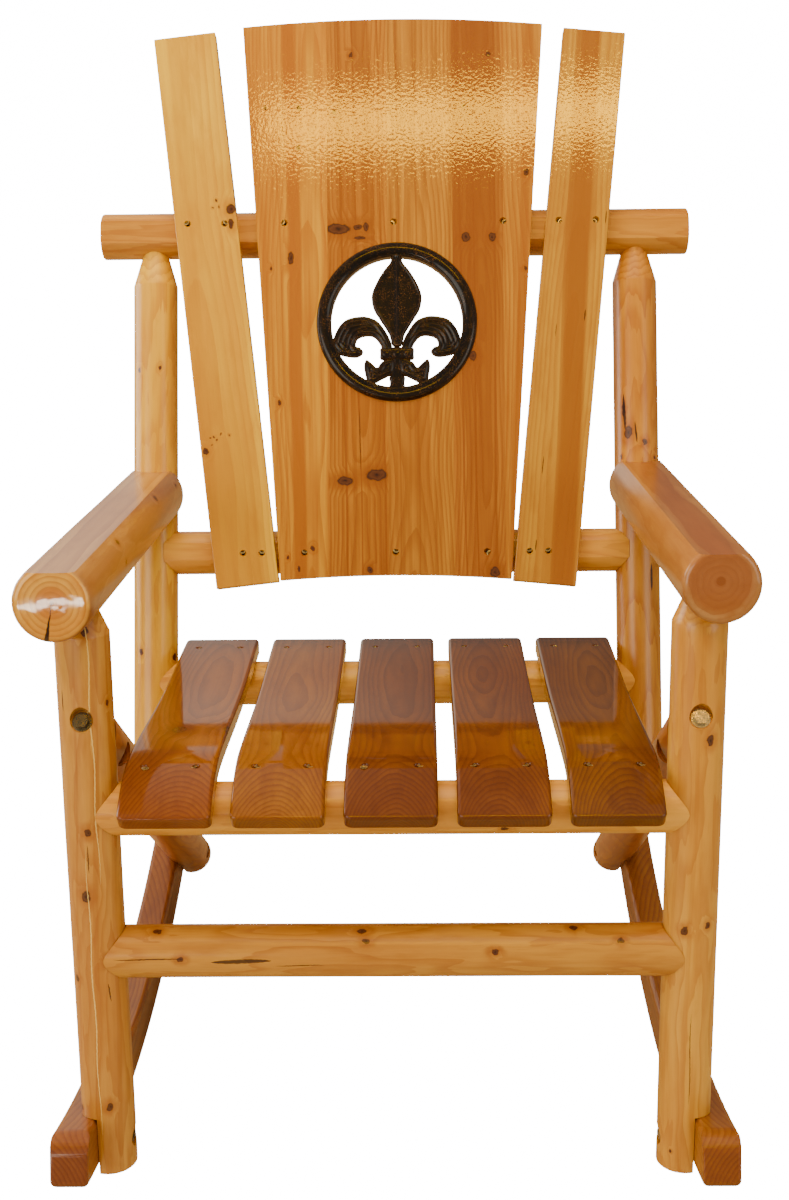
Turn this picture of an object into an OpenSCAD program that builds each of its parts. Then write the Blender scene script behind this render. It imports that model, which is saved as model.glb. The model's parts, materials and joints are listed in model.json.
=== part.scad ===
// Log rocking chair for one person. Peeled round logs carry five seat slats and a fanned
// back of flat boards, and two curved rockers sit in laps cut in the outer side of the logs.
// Millimetres. The chair faces -Y, +Z is up, and left is -X, as seen from in front.
// Every piece is drawn with the front posts upright, and the whole chair then leans back
// about the rockers' centre to the pose in which it rests when it is empty.

/* [Overall] */
// Distance between the axes of the left and right posts
post_spacing = 580; // [560:1:640]
// Distance between the axes of the front and rear seat rails, front to back
seat_depth = 417; // [395:1:435]
// Lean of the back posts from the front posts
back_lean = 16.4; // [13:0.2:18]
// Angle through which the empty chair leans back on its rockers
rest_lean = 7.55; // [0:0.05:9]

/* [Logs] */
// Diameter of the front posts, back posts and rear legs
post_d = 54; // [51:0.5:58]
// Diameter of the seat rails, the stretcher and the lower back rail
rail_d = 53; // [46:0.5:54]
// Diameter of the top rail of the back
top_rail_d = 56; // [50:0.5:62]
// Length of the top rail of the back
top_rail_len = 708; // [680:1:780]
// Diameter of the round tenons on the ends of the rails
rail_tenon_d = 28; // [20:0.5:34]
// Distance by which a rail's tenon passes the axis of its post
rail_tenon_past = 6; // [0:1:12]
// Gap left all round a joint between two pieces of wood
wood_gap = 0.15; // [0.1:0.05:0.3]
// Width of the bevel round a sawn log end
end_bevel = 2.5; // [1:0.5:5]

/* [Front posts] */
// Height of the feet of the front posts above the lowest line of the rockers
foot_z = 14; // [8:1:30]
// Height of the axis of the front stretcher
stretcher_z = 247; // [200:1:300]
// Height of the axes of the seat rails
seat_rail_z = 396; // [375:1:415]
// Diameter of the tenons on top of the posts
post_tenon_d = 32; // [26:0.5:36]
// Distance from the armrest's axis down to where the post starts to taper
arm_taper_drop = 45; // [42:1:60]
// Length of the taper between a post and its tenon
post_taper = 26; // [18:1:34]
// Distance from the top rail's axis down to where a back post starts to taper
top_taper_drop = 64; // [56:1:80]
// Length of the taper on top of a back post
top_taper = 38; // [26:1:46]

/* [Armrests] */
// Diameter of the armrest logs
arm_d = 75; // [70:0.5:82]
// Mean height of the two armrest axes
arm_z = 620; // [600:1:640]
// Height by which the right armrest lies above that mean, and the left one below it
arm_skew = 3.5; // [0:0.5:6]
// Height of the planed top of an armrest above its axis
arm_flat_h = 29; // [25:0.5:33]
// Distance from the front post's axis to the front end of the left armrest
arm_overhang_left = 68; // [50:1:80]
// Distance from the front post's axis to the front end of the right armrest
arm_overhang_right = 44; // [40:1:80]
// Distance by which an armrest's front end lies outside the post axes
arm_out_front = 12.5; // [4:0.5:16]
// Distance by which an armrest's rear end lies outside the post axes
arm_out_rear = 3; // [0:0.5:6]
// Radius of the rounded edge round an armrest's front end
arm_end_round = 7; // [3:0.5:12]

/* [Rear legs] */
// Height at which the axis of a rear leg crosses the axis of its front post
leg_start_z = 478; // [460:1:495]
// Slope of the rear legs
leg_slope = 31.4; // [30:0.2:33]
// Length of a rear leg, from the front post's axis to its lower end
leg_len = 768; // [735:1:776]

/* [Rockers] */
// Radius of the rockers' lower edge
rocker_r = 1300; // [1250:5:1400]
// Distance of the rockers' lowest line behind the front posts, with those posts upright
rocker_low_y = 217; // [205:1:230]
// Height of a rocker from its lower to its upper edge
rocker_depth = 52; // [44:0.5:58]
// Thickness of a rocker from side to side
rocker_w = 38; // [30:0.5:45]
// Angle of the rocker in front of the line that it rests on
rocker_front_angle = 20.85; // [19.8:0.05:23]
// Angle of the rocker behind the line that it rests on
rocker_rear_angle = 18.15; // [17.4:0.05:21]
// Radius along the long edges of a rocker
rocker_edge_r = 6; // [2:0.5:8]
// Radius of the upper corner at a rocker's ends
rocker_nose_r = 24; // [10:1:34]
// Depth of the laps that the rockers sit in
lap_depth = 19.5; // [14:0.5:22]

/* [Seat] */
// Width of a seat slat
slat_w = 89; // [70:0.5:92]
// Distance between the centre lines of neighbouring slats
slat_pitch = 106; // [98:0.5:107]
// Thickness of a seat slat
slat_t = 20; // [18:0.5:24]
// Height of the seat's crest above the axes of the seat rails
crest_rise = 47; // [45:0.5:50]
// Distance of the seat's crest behind the front rail's axis
crest_y = 35; // [25:1:45]
// Radius of the rolled front of the seat
nose_r = 153; // [130:1:200]
// Distance by which the slats reach in front of the front rail's axis
slat_nose = 62; // [54:1:68]
// Distance by which the slats reach behind the rear rail's axis
slat_tail = 39; // [30:1:44]
// Depth of the hollow of the seat between the rails
seat_dish = 5; // [0:0.5:12]
// Radius of the slats' corners, seen from above
slat_corner_r = 7; // [2:0.5:14]
// Distance between the two screws at each end of a slat
slat_screw_spacing = 50; // [36:1:60]

/* [Back] */
// Height of the lower back rail's axis above the seat rails' axes
lower_rail_rise = 151; // [140:1:165]
// Distance between the axes of the lower and top rails, along the back
top_rail_rise = 386; // [360:1:410]
// Thickness of the boards of the back
board_t = 19; // [15:0.5:23]
// Width of the middle panel at its upper corners
panel_top_w = 358; // [340:1:372]
// Width of the middle panel at its lower corners
panel_bottom_w = 273; // [268:1:285]
// Height of the panel's upper corners above the lower rail's axis, along the back
panel_top = 627; // [600:1:660]
// Depth of the panel's lower corners below the lower rail's axis, along the back
panel_drop = 36; // [30:1:50]
// Rise of the arched upper edge of the panel
panel_top_arch = 8; // [3:0.5:14]
// Rise of the arched lower edge of the panel
panel_bottom_arch = 5.5; // [2:0.5:10]
// Width of a side splat
splat_w = 74; // [60:0.5:82]
// Length of a side splat
splat_len = 664; // [640:1:690]
// Angle between the left splat and the middle of the back
splat_fan_left = 6.4; // [5:0.1:7.4]
// Angle between the right splat and the middle of the back
splat_fan_right = 5.7; // [5:0.1:7.4]
// Gap between a side splat and the panel at their lower ends
splat_gap = 1.5; // [0.5:0.5:6]
// Distance of the splats' lower ends below the lower rail's axis, along the back
splat_drop = 42; // [34:1:52]
// Distance from the middle of the back to the panel's outer upper screws
panel_screw_x = 130; // [112:1:138]
// Distance from the middle of the back to the panel's outer lower screws
panel_low_screw_x = 108; // [90:1:118]
// Height of the upper screws above the top rail's axis, and of the lower ones below theirs
screw_offset = 4; // [0:0.5:7]

/* [Medallion] */
// Height of the medallion's centre above the lower rail's axis, along the back
medallion_rise = 270; // [240:1:290]
// Distance of the medallion's centre to the right of the middle of the back
medallion_x = 3; // [-6:0.5:6]
// Outer diameter of the medallion's ring
ring_d = 191; // [182:1:210]
// Width of the face of the ring
ring_w = 17.5; // [13:0.5:22]
// Height of the ring above the face of the boards
ring_proud = 5; // [3:0.5:9]
// Depth of the ring's collar inside the hole in the boards
collar_depth = 12; // [6:0.5:15]
// Width of the ring's lip on the face of the boards
ring_lip = 7.5; // [5:0.5:10]
// Thickness of the lily inside the ring
lily_t = 8; // [5:0.5:12]

/* [Fasteners] */
// Diameter of the bolts and lag screws
bolt_d = 8; // [6:0.5:9]
// Diameter across the corners of the hexagonal heads and nuts
hex_d = 14.6; // [12:0.2:16]
// Diameter of the washers
washer_d = 18.6; // [17:0.2:21]
// Diameter of the counterbores round the heads and nuts
counterbore_d = 22; // [21.5:0.5:26]
// Diameter of the heads of the wood screws
screw_head_d = 7.6; // [6:0.2:9]
// Diameter of the shanks of the wood screws
screw_d = 4; // [3:0.1:5]
// Length of the wood screws
screw_len = 38; // [32:1:42]
// Clearance round a shank in its hole
hole_gap = 0.2; // [0.1:0.05:0.5]

/* [Hidden] */
$fn = 64;

LEFT = -1;
RIGHT = 1;
WHOLE = 0;
UPPER = 1;
LOWER = 2;
LOG = "#d9a45c";
LOG_DARK = "#c98f48";
SLAT = "#a8642f";
BOARD_LIGHT = "#e0aa5c";
BOARD_DARK = "#b97a3a";
ROCKER = "#b5763c";
IRON = "#2b211b";
ZINC = "#c9b26a";
BRASS = "#b89a55";

post_x = post_spacing / 2;
post_r = post_d / 2;
rail_r = rail_d / 2;
arm_r = arm_d / 2;
bolt_r = bolt_d / 2;
past = 1;
far = 2000;

// Lean of the back, and where the back posts' axis lies at a height
function back_y(z) = seat_depth + tan(back_lean) * (z - seat_rail_z);
lower_rail_z = seat_rail_z + lower_rail_rise;
// Distances along a back post are counted from the lower back rail's axis
back_tenon_past = 14;
back_post_top = top_rail_rise + back_tenon_past;
// Start of a back post, just above the axis of its rear leg, inside the cope
cope_start = 1;

// Rear leg: its direction, and its distance from a point of the front post's axis
leg_dir_y = cos(leg_slope);
leg_dir_z = -sin(leg_slope);
// Distance along a rear leg to the back post's axis
leg_to_back = (seat_depth + tan(back_lean) * (leg_start_z - seat_rail_z))
  / (leg_dir_y - tan(back_lean) * leg_dir_z);
back_foot_s = -(lower_rail_z - (leg_start_z + leg_to_back * leg_dir_z)) / cos(back_lean);

// Rocker: faces, and the distance along a rear leg to the middle of the rocker
rocker_inner_x = post_x + post_r - lap_depth;
rocker_mid_r = rocker_r - rocker_depth / 2;
rocker_top_r = rocker_r - rocker_depth;
leg_b = -rocker_low_y * leg_dir_y + (leg_start_z - rocker_r) * leg_dir_z;
leg_c = pow(rocker_low_y, 2) + pow(leg_start_z - rocker_r, 2) - pow(rocker_mid_r, 2);
leg_to_rocker = -leg_b + sqrt(pow(leg_b, 2) - leg_c);
front_bolt_angle = -asin(rocker_low_y / rocker_mid_r);
rear_bolt_angle = asin((leg_to_rocker * leg_dir_y - rocker_low_y) / rocker_mid_r);

// The footprint's middle lies on the Y axis after the chair has leaned back
rocker_front_reach = rocker_r * sin(rocker_front_angle);
rocker_rear_reach = rocker_r * sin(rocker_rear_angle);
rest_y = (rocker_front_reach - rocker_rear_reach) / 2;

// Seat: the curve of a slat in the YZ plane
crest_z = seat_rail_z + crest_rise;
tail_y = seat_depth + slat_tail;
nose_angle = asin((slat_nose + crest_y) / nose_r);
curve_steps = 16;
tail_fall = 2;
function dish(u) = seat_dish * (1 - cos(360 * u)) / 2 + tail_fall * u;
function seat_z(u) = crest_z - dish(u);
function nose_point(a, r) = [crest_y - r * sin(a), crest_z - nose_r + r * cos(a)];
slat_outline = concat(
  [for (i = [curve_steps:-1:0]) let (u = i / curve_steps)
    [crest_y + (tail_y - crest_y) * u, seat_z(u)]],
  [for (i = [1:curve_steps]) nose_point(nose_angle * i / curve_steps, nose_r)],
  [for (i = [curve_steps:-1:0]) nose_point(nose_angle * i / curve_steps, nose_r - slat_t)],
  [for (i = [1:curve_steps]) let (u = i / curve_steps)
    [crest_y + (tail_y - crest_y) * u, seat_z(u) - slat_t]]);
front_screw_z = nose_point(asin(crest_y / nose_r), nose_r)[1];
rear_screw_z = seat_z((seat_depth - crest_y) / (tail_y - crest_y));

// Back: boards lie on flats planed on the rails
rail_flat = 2.5;
board_back_y = -(min(rail_d, top_rail_d) / 2 - rail_flat);
board_face_y = board_back_y - board_t;
// Glue lines of the middle panel, from left to right
glue_x = [-far, -79, -8, 70, 130, far];
panel_half_slope = (panel_top_w - panel_bottom_w) / 2 / (panel_top + panel_drop);
function panel_half(s) = panel_bottom_w / 2 + (s + panel_drop) * panel_half_slope;
function arch_r(w, rise) = (pow(w / 2, 2) + pow(rise, 2)) / (2 * rise);
function splat_fan(side) = side < 0 ? splat_fan_left : splat_fan_right;
function splat_foot_x(side) =
  panel_bottom_w / 2 + splat_gap + splat_w / 2 / cos(splat_fan(side));
splat_low_screw_in = 10;
splat_low_screw_spacing = 22;
splat_top_screw_spacing = 44;
// Places of the screws in the face of the back, as x and the distance along the back
high = top_rail_rise + screw_offset;
low = -screw_offset;
function splat_x(side, s) = splat_foot_x(side) + (s + splat_drop) * tan(splat_fan(side));
back_screw_places = concat(
  [for (x = [-panel_screw_x, 0, panel_screw_x]) [x, high]],
  [for (x = [-panel_low_screw_x, 0, panel_low_screw_x]) [x, low]],
  [for (side = [LEFT, RIGHT], k = [-0.5, 0.5])
    [side * (splat_x(side, high) + k * splat_top_screw_spacing), high]],
  [for (side = [LEFT, RIGHT], k = [-0.5, 0.5])
    [side * (splat_x(side, low) - splat_low_screw_in + k * splat_low_screw_spacing), low]]);
screw_head_h = 3;
screw_sink = 0.4;

// Medallion
ring_r = ring_d / 2;
ring_inner_r = ring_r - ring_w;
hole_r = ring_r - ring_lip;

// Fasteners
washer_t = 1.6;
head_h = 5.3;
nut_h = 6.6;
// Distance along a rear leg to the floor of the counterbore and to the nut's pocket
leg_head_t = -24;
pocket_t = 80;
pocket_r = 13;
pocket_roll = 20;
pocket_past = 10;
leg_washer_t = pocket_t - sqrt(pow(pocket_r, 2) - pow(washer_d / 2, 2)) + 0.1;
// Depth of the counterbores for the rocker bolts' nuts, the lag screws and the arm screws
nut_bore_depth = 11;
lag_bore_depth = 14;
arm_bore_depth = 9;
lag_len = 76;
arm_lag_len = 95;
dome_h = 4;
dome_r = 9.5;

// Leans the upright chair back about the centre of its rockers
module rest_pose() {
  translate([0, rest_y, rocker_r])
    rotate([-rest_lean, 0, 0])
      translate([0, -rocker_low_y, -rocker_r])
        children();
}

// Frame of the back: origin on the lower back rail's axis, z up along the back posts
module on_back() {
  translate([0, back_y(lower_rail_z), lower_rail_z])
    rotate([-back_lean, 0, 0])
      children();
}

// Frame of a rear leg: origin on the front post's axis, z down along the leg
module on_leg(side) {
  translate([side * post_x, 0, leg_start_z])
    rotate([-90 - leg_slope, 0, 0])
      children();
}

// Frame of the rockers at an angle behind their lowest line: z points to the centre
module on_rocker(angle) {
  translate([0, rocker_low_y, rocker_r])
    rotate([angle, 0, 0])
      children();
}

// Cylinder along X between two places
module bar_x(x1, x2, r) {
  translate([x1, 0, 0])
    rotate([0, 90, 0])
      cylinder(h = x2 - x1, r = r);
}

// Outline of a log turned about z, from its axis out and back, as radius and height
module turned(outline) {
  rotate_extrude()
    polygon(outline);
}

// Points of a post's top: its shoulder, its taper and the end of its tenon
function post_top(shoulder, taper, top, grow) = [
  [post_r + grow, shoulder],
  [post_tenon_d / 2 + grow, shoulder + taper],
  [post_tenon_d / 2 + grow, top + grow],
  [0, top + grow]];

// The space that a post's top needs in the log above it
module post_socket(shoulder, taper, top) {
  turned(concat([[0, shoulder]], post_top(shoulder, taper, top, wood_gap)));
}

// Height of an armrest's axis, and how far the armrest reaches in front of its post
function arm_axis_z(side) = arm_z + side * arm_skew;
function arm_overhang(side) = side < 0 ? arm_overhang_left : arm_overhang_right;
function arm_run(side) = back_y(arm_axis_z(side)) + arm_overhang(side);
arm_tenon_past = arm_flat_h / 2;
// Distance by which an armrest stops short of the back post's axis
arm_end_short = 6;

// Axis of an armrest: origin at its front end, y along the armrest
module on_arm(side) {
  splay = atan((arm_out_front - arm_out_rear) / arm_run(side));
  front_x = post_x + arm_out_front;
  translate([side * front_x, -arm_overhang(side), arm_axis_z(side)])
    rotate([0, 0, side * splay])
      children();
}

// Solids that rails, bolts and laps need out of the logs

module rail_bore(side) {
  translate([side * post_x, 0, 0])
    mirror([side > 0 ? 0 : 1, 0, 0])
      bar_x(-post_r - past, rail_tenon_past + past, rail_tenon_d / 2 + wood_gap);
}

// Everything outside the upper edge of a rocker, from the lap's face outwards
module lap_cutter(side, y1, y2, z1, z2) {
  x = rocker_inner_x - wood_gap;
  difference() {
    translate([side > 0 ? x : -x - post_d, y1, z1])
      cube([post_d, y2 - y1, z2 - z1]);
    translate([0, rocker_low_y, rocker_r])
      bar_x(-far, far, rocker_top_r - wood_gap);
  }
}

// Hole for a rocker's bolt, with the counterbore for its nut on the inner side
module rocker_bolt_bore(side, angle) {
  inner_face = post_x - post_r;
  on_rocker(angle)
    translate([0, 0, -rocker_mid_r])
      mirror([side > 0 ? 0 : 1, 0, 0]) {
        bar_x(inner_face - past, rocker_inner_x + rocker_w + past, bolt_r + hole_gap);
        bar_x(inner_face - past, inner_face + nut_bore_depth, counterbore_d / 2);
      }
}

module front_post(side) {
  arm = arm_axis_z(side);
  foot = [[0, foot_z], [post_r - end_bevel, foot_z], [post_r, foot_z + end_bevel]];
  color(LOG)
    difference() {
      translate([side * post_x, 0, 0])
        turned(concat(foot,
          post_top(arm - arm_taper_drop, post_taper, arm + arm_tenon_past, 0)));
      for (z = [stretcher_z, seat_rail_z])
        translate([0, 0, z])
          rail_bore(side);
      lap_cutter(side, -post_r - past, post_r + past, 0, stretcher_z - rail_d);
      rocker_bolt_bore(side, front_bolt_angle);
      on_leg(side) {
        translate([0, 0, -post_d])
          cylinder(h = post_d + leg_head_t, r = counterbore_d / 2);
        translate([0, 0, -post_d])
          cylinder(h = 2 * post_d, r = bolt_r + hole_gap);
      }
    }
}

module rear_leg(side) {
  lap_start = leg_to_rocker - 2 * rocker_depth;
  color(LOG_DARK)
    difference() {
      on_leg(side)
        turned([[0, 0], [post_r, 0], [post_r, leg_len - end_bevel],
          [post_r - end_bevel, leg_len], [0, leg_len]]);
      translate([side * post_x, 0, foot_z])
        cylinder(h = arm_z, r = post_r + wood_gap);
      lap_cutter(side, lap_start * leg_dir_y, far, -far / 4, rocker_depth * 6);
      rocker_bolt_bore(side, rear_bolt_angle);
      on_leg(side) {
        cylinder(h = pocket_t, r = bolt_r + hole_gap);
        translate([0, 0, pocket_t])
          rotate([0, 0, -side * pocket_roll])
            mirror([side > 0 ? 0 : 1, 0, 0])
              bar_x(-post_r - past, pocket_past, pocket_r);
      }
      translate([side * post_x, 0, 0])
        on_back()
          translate([0, 0, back_foot_s]) {
            translate([0, 0, -post_d])
              cylinder(h = 2 * post_d, r = bolt_r + hole_gap);
            translate([0, 0, -post_d])
              cylinder(h = post_d - lag_bore_depth, r = counterbore_d / 2);
          }
    }
}

module back_post(side) {
  color(LOG)
    difference() {
      translate([side * post_x, 0, 0])
        on_back()
          turned(concat([[0, back_foot_s + cope_start], [post_r, back_foot_s + cope_start]],
            post_top(top_rail_rise - top_taper_drop, top_taper, back_post_top, 0)));
      on_leg(side)
        cylinder(h = leg_len, r = post_r + wood_gap);
      translate([0, back_y(lower_rail_z), lower_rail_z])
        rail_bore(side);
      translate([0, seat_depth, seat_rail_z])
        rail_bore(side);
      translate([side * post_x, 0, 0])
        on_back()
          translate([0, 0, back_foot_s])
            cylinder(h = lag_len, r = bolt_r + hole_gap);
      arm_lag_bore(side);
    }
}

// Level hole through a back post, with a counterbore at the back
module arm_lag_bore(side) {
  z = arm_axis_z(side);
  translate([side * post_x, back_y(z), z])
    rotate([-90, 0, 0]) {
      translate([0, 0, -post_d])
        cylinder(h = 2 * post_d, r = bolt_r + hole_gap);
      translate([0, 0, post_r - arm_bore_depth])
        cylinder(h = post_d, r = counterbore_d / 2);
    }
}

module armrest(side) {
  z = arm_axis_z(side);
  color(LOG)
    difference() {
      on_arm(side)
        rotate([-90, 0, 0])
          rounded_log(arm_r, arm_run(side) - arm_end_short, arm_end_round);
      translate([side * post_x - far / 2, -far / 2, z + arm_flat_h])
        cube([far, far, arm_d]);
      translate([side * post_x, 0, 0])
        post_socket(z - arm_taper_drop, post_taper, z + arm_tenon_past);
      translate([side * post_x, 0, 0])
        on_back()
          translate([0, 0, -lower_rail_z])
            cylinder(h = far, r = post_r + wood_gap);
      translate([side * post_x, back_y(z), z])
        rotate([90, 0, 0])
          cylinder(h = arm_lag_len, r = bolt_r + hole_gap);
    }
}

// Log along z whose lower end has a rounded edge
module rounded_log(r, h, edge) {
  rotate_extrude() {
    square([r - edge, h]);
    translate([0, edge])
      square([r, h - edge]);
    intersection() {
      translate([r - edge, edge])
        circle(r = edge);
      square([r, h]);
    }
  }
}

// Rail along X between two posts: coped shoulders, and a round tenon at each end
module rail(y, z, r, lean) {
  tenon_x = post_x + rail_tenon_past;
  difference() {
    translate([0, y, z])
      bar_x(-post_x, post_x, r);
    for (side = [LEFT, RIGHT])
      translate([side * post_x, y, z])
        rotate([-lean, 0, 0])
          cylinder(h = 4 * post_d, r = post_r + wood_gap, center = true);
  }
  translate([0, y, z])
    bar_x(-tenon_x, tenon_x, rail_tenon_d / 2);
}

// Holes of the slats' screws, with their countersinks, in the upright chair
module slat_screw_holes(grow) {
  for (i = [-2:2], k = [-0.5, 0.5]) {
    x = i * slat_pitch + k * slat_screw_spacing;
    translate([x, 0, front_screw_z - screw_sink])
      wood_screw(grow);
    translate([x, seat_depth, rear_screw_z - screw_sink])
      wood_screw(grow);
  }
}

// Countersunk wood screw whose head's face is at z = 0 and whose shank points down
module wood_screw(grow) {
  translate([0, 0, -screw_head_h])
    cylinder(h = screw_head_h, r1 = screw_d / 2 + grow, r2 = screw_head_d / 2 + grow);
  if (grow > 0)
    cylinder(h = screw_head_h, r = screw_head_d / 2 + grow);
  translate([0, 0, -screw_len - grow])
    cylinder(h = screw_len - screw_head_h + grow + 0.01, r = screw_d / 2 + grow);
}

module back_screw_holes(grow) {
  on_back()
    for (p = back_screw_places)
      translate([p[0], board_face_y + screw_sink, p[1]])
        rotate([90, 0, 0])
          wood_screw(grow);
}

// Planes a flat along the front of a rail of the back
module back_flat(r) {
  translate([-far / 2, board_back_y - r, -r])
    cube([far, r, 2 * r]);
}

module seat_front_rail() {
  color(LOG)
    difference() {
      rail(0, seat_rail_z, rail_r, 0);
      slat_screw_holes(hole_gap);
    }
}

module seat_rear_rail() {
  color(LOG)
    difference() {
      rail(seat_depth, seat_rail_z, rail_r, back_lean);
      slat_screw_holes(hole_gap);
    }
}

module front_stretcher() {
  color(LOG)
    rail(0, stretcher_z, rail_r, 0);
}

module lower_back_rail() {
  color(LOG)
    difference() {
      rail(back_y(lower_rail_z), lower_rail_z, rail_r, back_lean);
      on_back()
        back_flat(rail_r);
      back_screw_holes(hole_gap);
    }
}

module top_back_rail() {
  r = top_rail_d / 2;
  half = top_rail_len / 2;
  color(LOG)
    difference() {
      on_back()
        translate([0, 0, top_rail_rise])
          rotate([0, 90, 0])
            turned([[0, -half], [r - end_bevel, -half], [r, -half + end_bevel],
              [r, half - end_bevel], [r - end_bevel, half], [0, half]]);
      on_back()
        translate([0, 0, top_rail_rise])
          back_flat(r);
      for (side = [LEFT, RIGHT])
        translate([side * post_x, 0, 0])
          on_back()
            post_socket(top_rail_rise - top_taper_drop, top_taper, back_post_top);
      back_screw_holes(hole_gap);
    }
}

module rocker(side) {
  x = side * (rocker_inner_x + rocker_w / 2);
  front = rocker_front_angle - rest_lean;
  rear = rocker_rear_angle + rest_lean;
  color(ROCKER)
    difference() {
      translate([0, rocker_low_y, rocker_r])
        rotate([0, 90, 0])
          rotate([0, 0, -front])
            rotate_extrude(angle = front + rear, $fn = 360)
              translate([rocker_mid_r, x])
                rounded_square(rocker_depth, rocker_w, rocker_edge_r);
      on_rocker(-front)
        rocker_corner_cutter(1);
      on_rocker(rear)
        rocker_corner_cutter(-1);
      rocker_bolt_hole(front_bolt_angle);
      rocker_bolt_hole(rear_bolt_angle);
    }
}

module rocker_bolt_hole(angle) {
  on_rocker(angle)
    translate([0, 0, -rocker_mid_r])
      bar_x(-far / 2, far / 2, bolt_r + hole_gap);
}

// Rounds the upper corner at a rocker's end; dir is where the rocker lies from the end
module rocker_corner_cutter(dir) {
  translate([0, 0, -rocker_top_r])
    difference() {
      translate([-far / 2, dir > 0 ? -past : -rocker_nose_r, -rocker_nose_r])
        cube([far, rocker_nose_r + past, rocker_nose_r + 2 * past]);
      translate([0, dir * rocker_nose_r, -rocker_nose_r])
        bar_x(-far, far, rocker_nose_r);
    }
}

module rounded_square(a, b, r) {
  square([a - 2 * r, b], center = true);
  square([a, b - 2 * r], center = true);
  for (u = [-1, 1], v = [-1, 1])
    translate([u * (a / 2 - r), v * (b / 2 - r)])
      circle(r = r, $fn = 32);
}

module seat_slat(i) {
  half = slat_w / 2;
  length = tail_y + slat_nose;
  color(SLAT)
    difference() {
      intersection() {
        translate([i * slat_pitch - half, 0, 0])
          rotate([90, 0, 90])
            linear_extrude(height = slat_w)
              polygon(slat_outline);
        translate([i * slat_pitch, (tail_y - slat_nose) / 2, 0])
          linear_extrude(height = far / 2)
            rounded_square(slat_w, length, slat_corner_r);
      }
      for (y = [0, seat_depth])
        translate([0, y, seat_rail_z])
          bar_x(-post_x, post_x, rail_r + wood_gap);
      slat_screw_holes(hole_gap);
    }
}

// Outline of the middle panel, arched above and below, in the plane of the back
module panel_outline() {
  top_r = arch_r(panel_top_w, panel_top_arch);
  bottom_r = arch_r(panel_bottom_w, panel_bottom_arch);
  top_peak = panel_top + panel_top_arch;
  difference() {
    intersection() {
      polygon([[-panel_half(-panel_drop), -panel_drop], [panel_half(-panel_drop), -panel_drop],
        [panel_half(top_peak), top_peak], [-panel_half(top_peak), top_peak]]);
      translate([0, top_peak - top_r])
        circle(r = top_r, $fn = 360);
    }
    translate([0, -panel_drop + panel_bottom_arch - bottom_r])
      circle(r = bottom_r, $fn = 360);
    translate([medallion_x, medallion_rise])
      circle(r = hole_r);
  }
}

// One board of the panel: the hole for the medallion cuts the middle ones in two
module back_board(i, part = WHOLE) {
  low = part == UPPER ? medallion_rise : -far;
  high = part == LOWER ? medallion_rise : far;
  color(i % 2 == 0 ? BOARD_LIGHT : BOARD_DARK)
    difference() {
      on_back()
        translate([0, board_back_y, 0])
          rotate([90, 0, 0])
            linear_extrude(height = board_t)
              intersection() {
                panel_outline();
                translate([glue_x[i], low])
                  square([glue_x[i + 1] - glue_x[i], high - low]);
              }
      back_screw_holes(hole_gap);
    }
}

module back_splat(side) {
  color(BOARD_LIGHT)
    difference() {
      on_back()
        translate([side * splat_foot_x(side), board_back_y, -splat_drop])
          rotate([90, 0, 0])
            rotate([0, 0, -side * splat_fan(side)])
              linear_extrude(height = board_t)
                translate([-splat_w / 2, 0])
                  square([splat_w, splat_len]);
      back_screw_holes(hole_gap);
    }
}

// Points of a smooth closed curve through hand-placed points
function spline_at(p, i, t) = let (n = len(p), a = p[(i + n - 1) % n], b = p[i],
  c = p[(i + 1) % n], d = p[(i + 2) % n])
  0.5 * (2 * b + (c - a) * t + (2 * a - 5 * b + 4 * c - d) * t * t
    + (3 * b - a - 3 * c + d) * t * t * t);
function smooth(p, steps = 4) =
  [for (i = [0:len(p) - 1], k = [0:steps - 1]) spline_at(p, i, k / steps)];
function flip_x(p) = [for (i = [len(p) - 1:-1:0]) [-p[i][0], p[i][1]]];

// Outlines of the lily, in hundredths of the ring's radius
petal_half = [[5, 84], [8, 74], [16, 64], [25, 49], [31, 33], [29, 17], [21, 3], [10, -15],
  [5, -30]];
middle_petal = concat(petal_half, flip_x(petal_half));
side_petal = [[-6, -36], [-9, -21], [-21, -2], [-32, 5], [-45, 7], [-63, 3], [-74, -9],
  [-80, -27], [-73, -39], [-63, -43], [-49, -44], [-42, -38], [-46, -32], [-51, -30],
  [-49, -22], [-40, -18], [-29, -19], [-21, -28], [-17, -38]];
low_curl = [[-2, -46], [-13, -47], [-20, -51], [-25, -57], [-31, -52], [-38, -47], [-41, -54],
  [-40, -64], [-37, -74], [-29, -77], [-21, -73], [-13, -69], [-3, -63]];
stem_half = [[4, -42], [5, -54], [7, -65], [10, -70], [9, -77], [10, -88]];
stem = concat(stem_half, flip_x(stem_half));
knot_z = -40;
knot_w = 42;
knot_h = 16;
knot_r = 5;

module lily_outline() {
  scale(ring_r / 100) {
    polygon(smooth(middle_petal));
    polygon(smooth(side_petal));
    polygon(flip_x(smooth(side_petal)));
    polygon(smooth(low_curl));
    polygon(flip_x(smooth(low_curl)));
    polygon(smooth(stem));
    translate([0, knot_z])
      rounded_square(knot_w, knot_h, knot_r);
  }
}

module lily_medallion() {
  face = ring_proud;
  color(IRON)
    on_back()
      translate([medallion_x, board_face_y, medallion_rise])
        rotate([90, 0, 0]) {
          rotate_extrude()
            translate([ring_inner_r, 0])
              square([ring_w, face]);
          rotate_extrude()
            translate([ring_inner_r, -collar_depth])
              square([hole_r - hole_gap - ring_inner_r, collar_depth + past]);
          translate([0, 0, face - past - lily_t])
            linear_extrude(height = lily_t)
              intersection() {
                lily_outline();
                circle(r = ring_inner_r + past);
              }
        }
}

module slat_screws() {
  color(BRASS)
    slat_screw_holes(0);
}

module back_screws() {
  color(BRASS)
    back_screw_holes(0);
}

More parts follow.
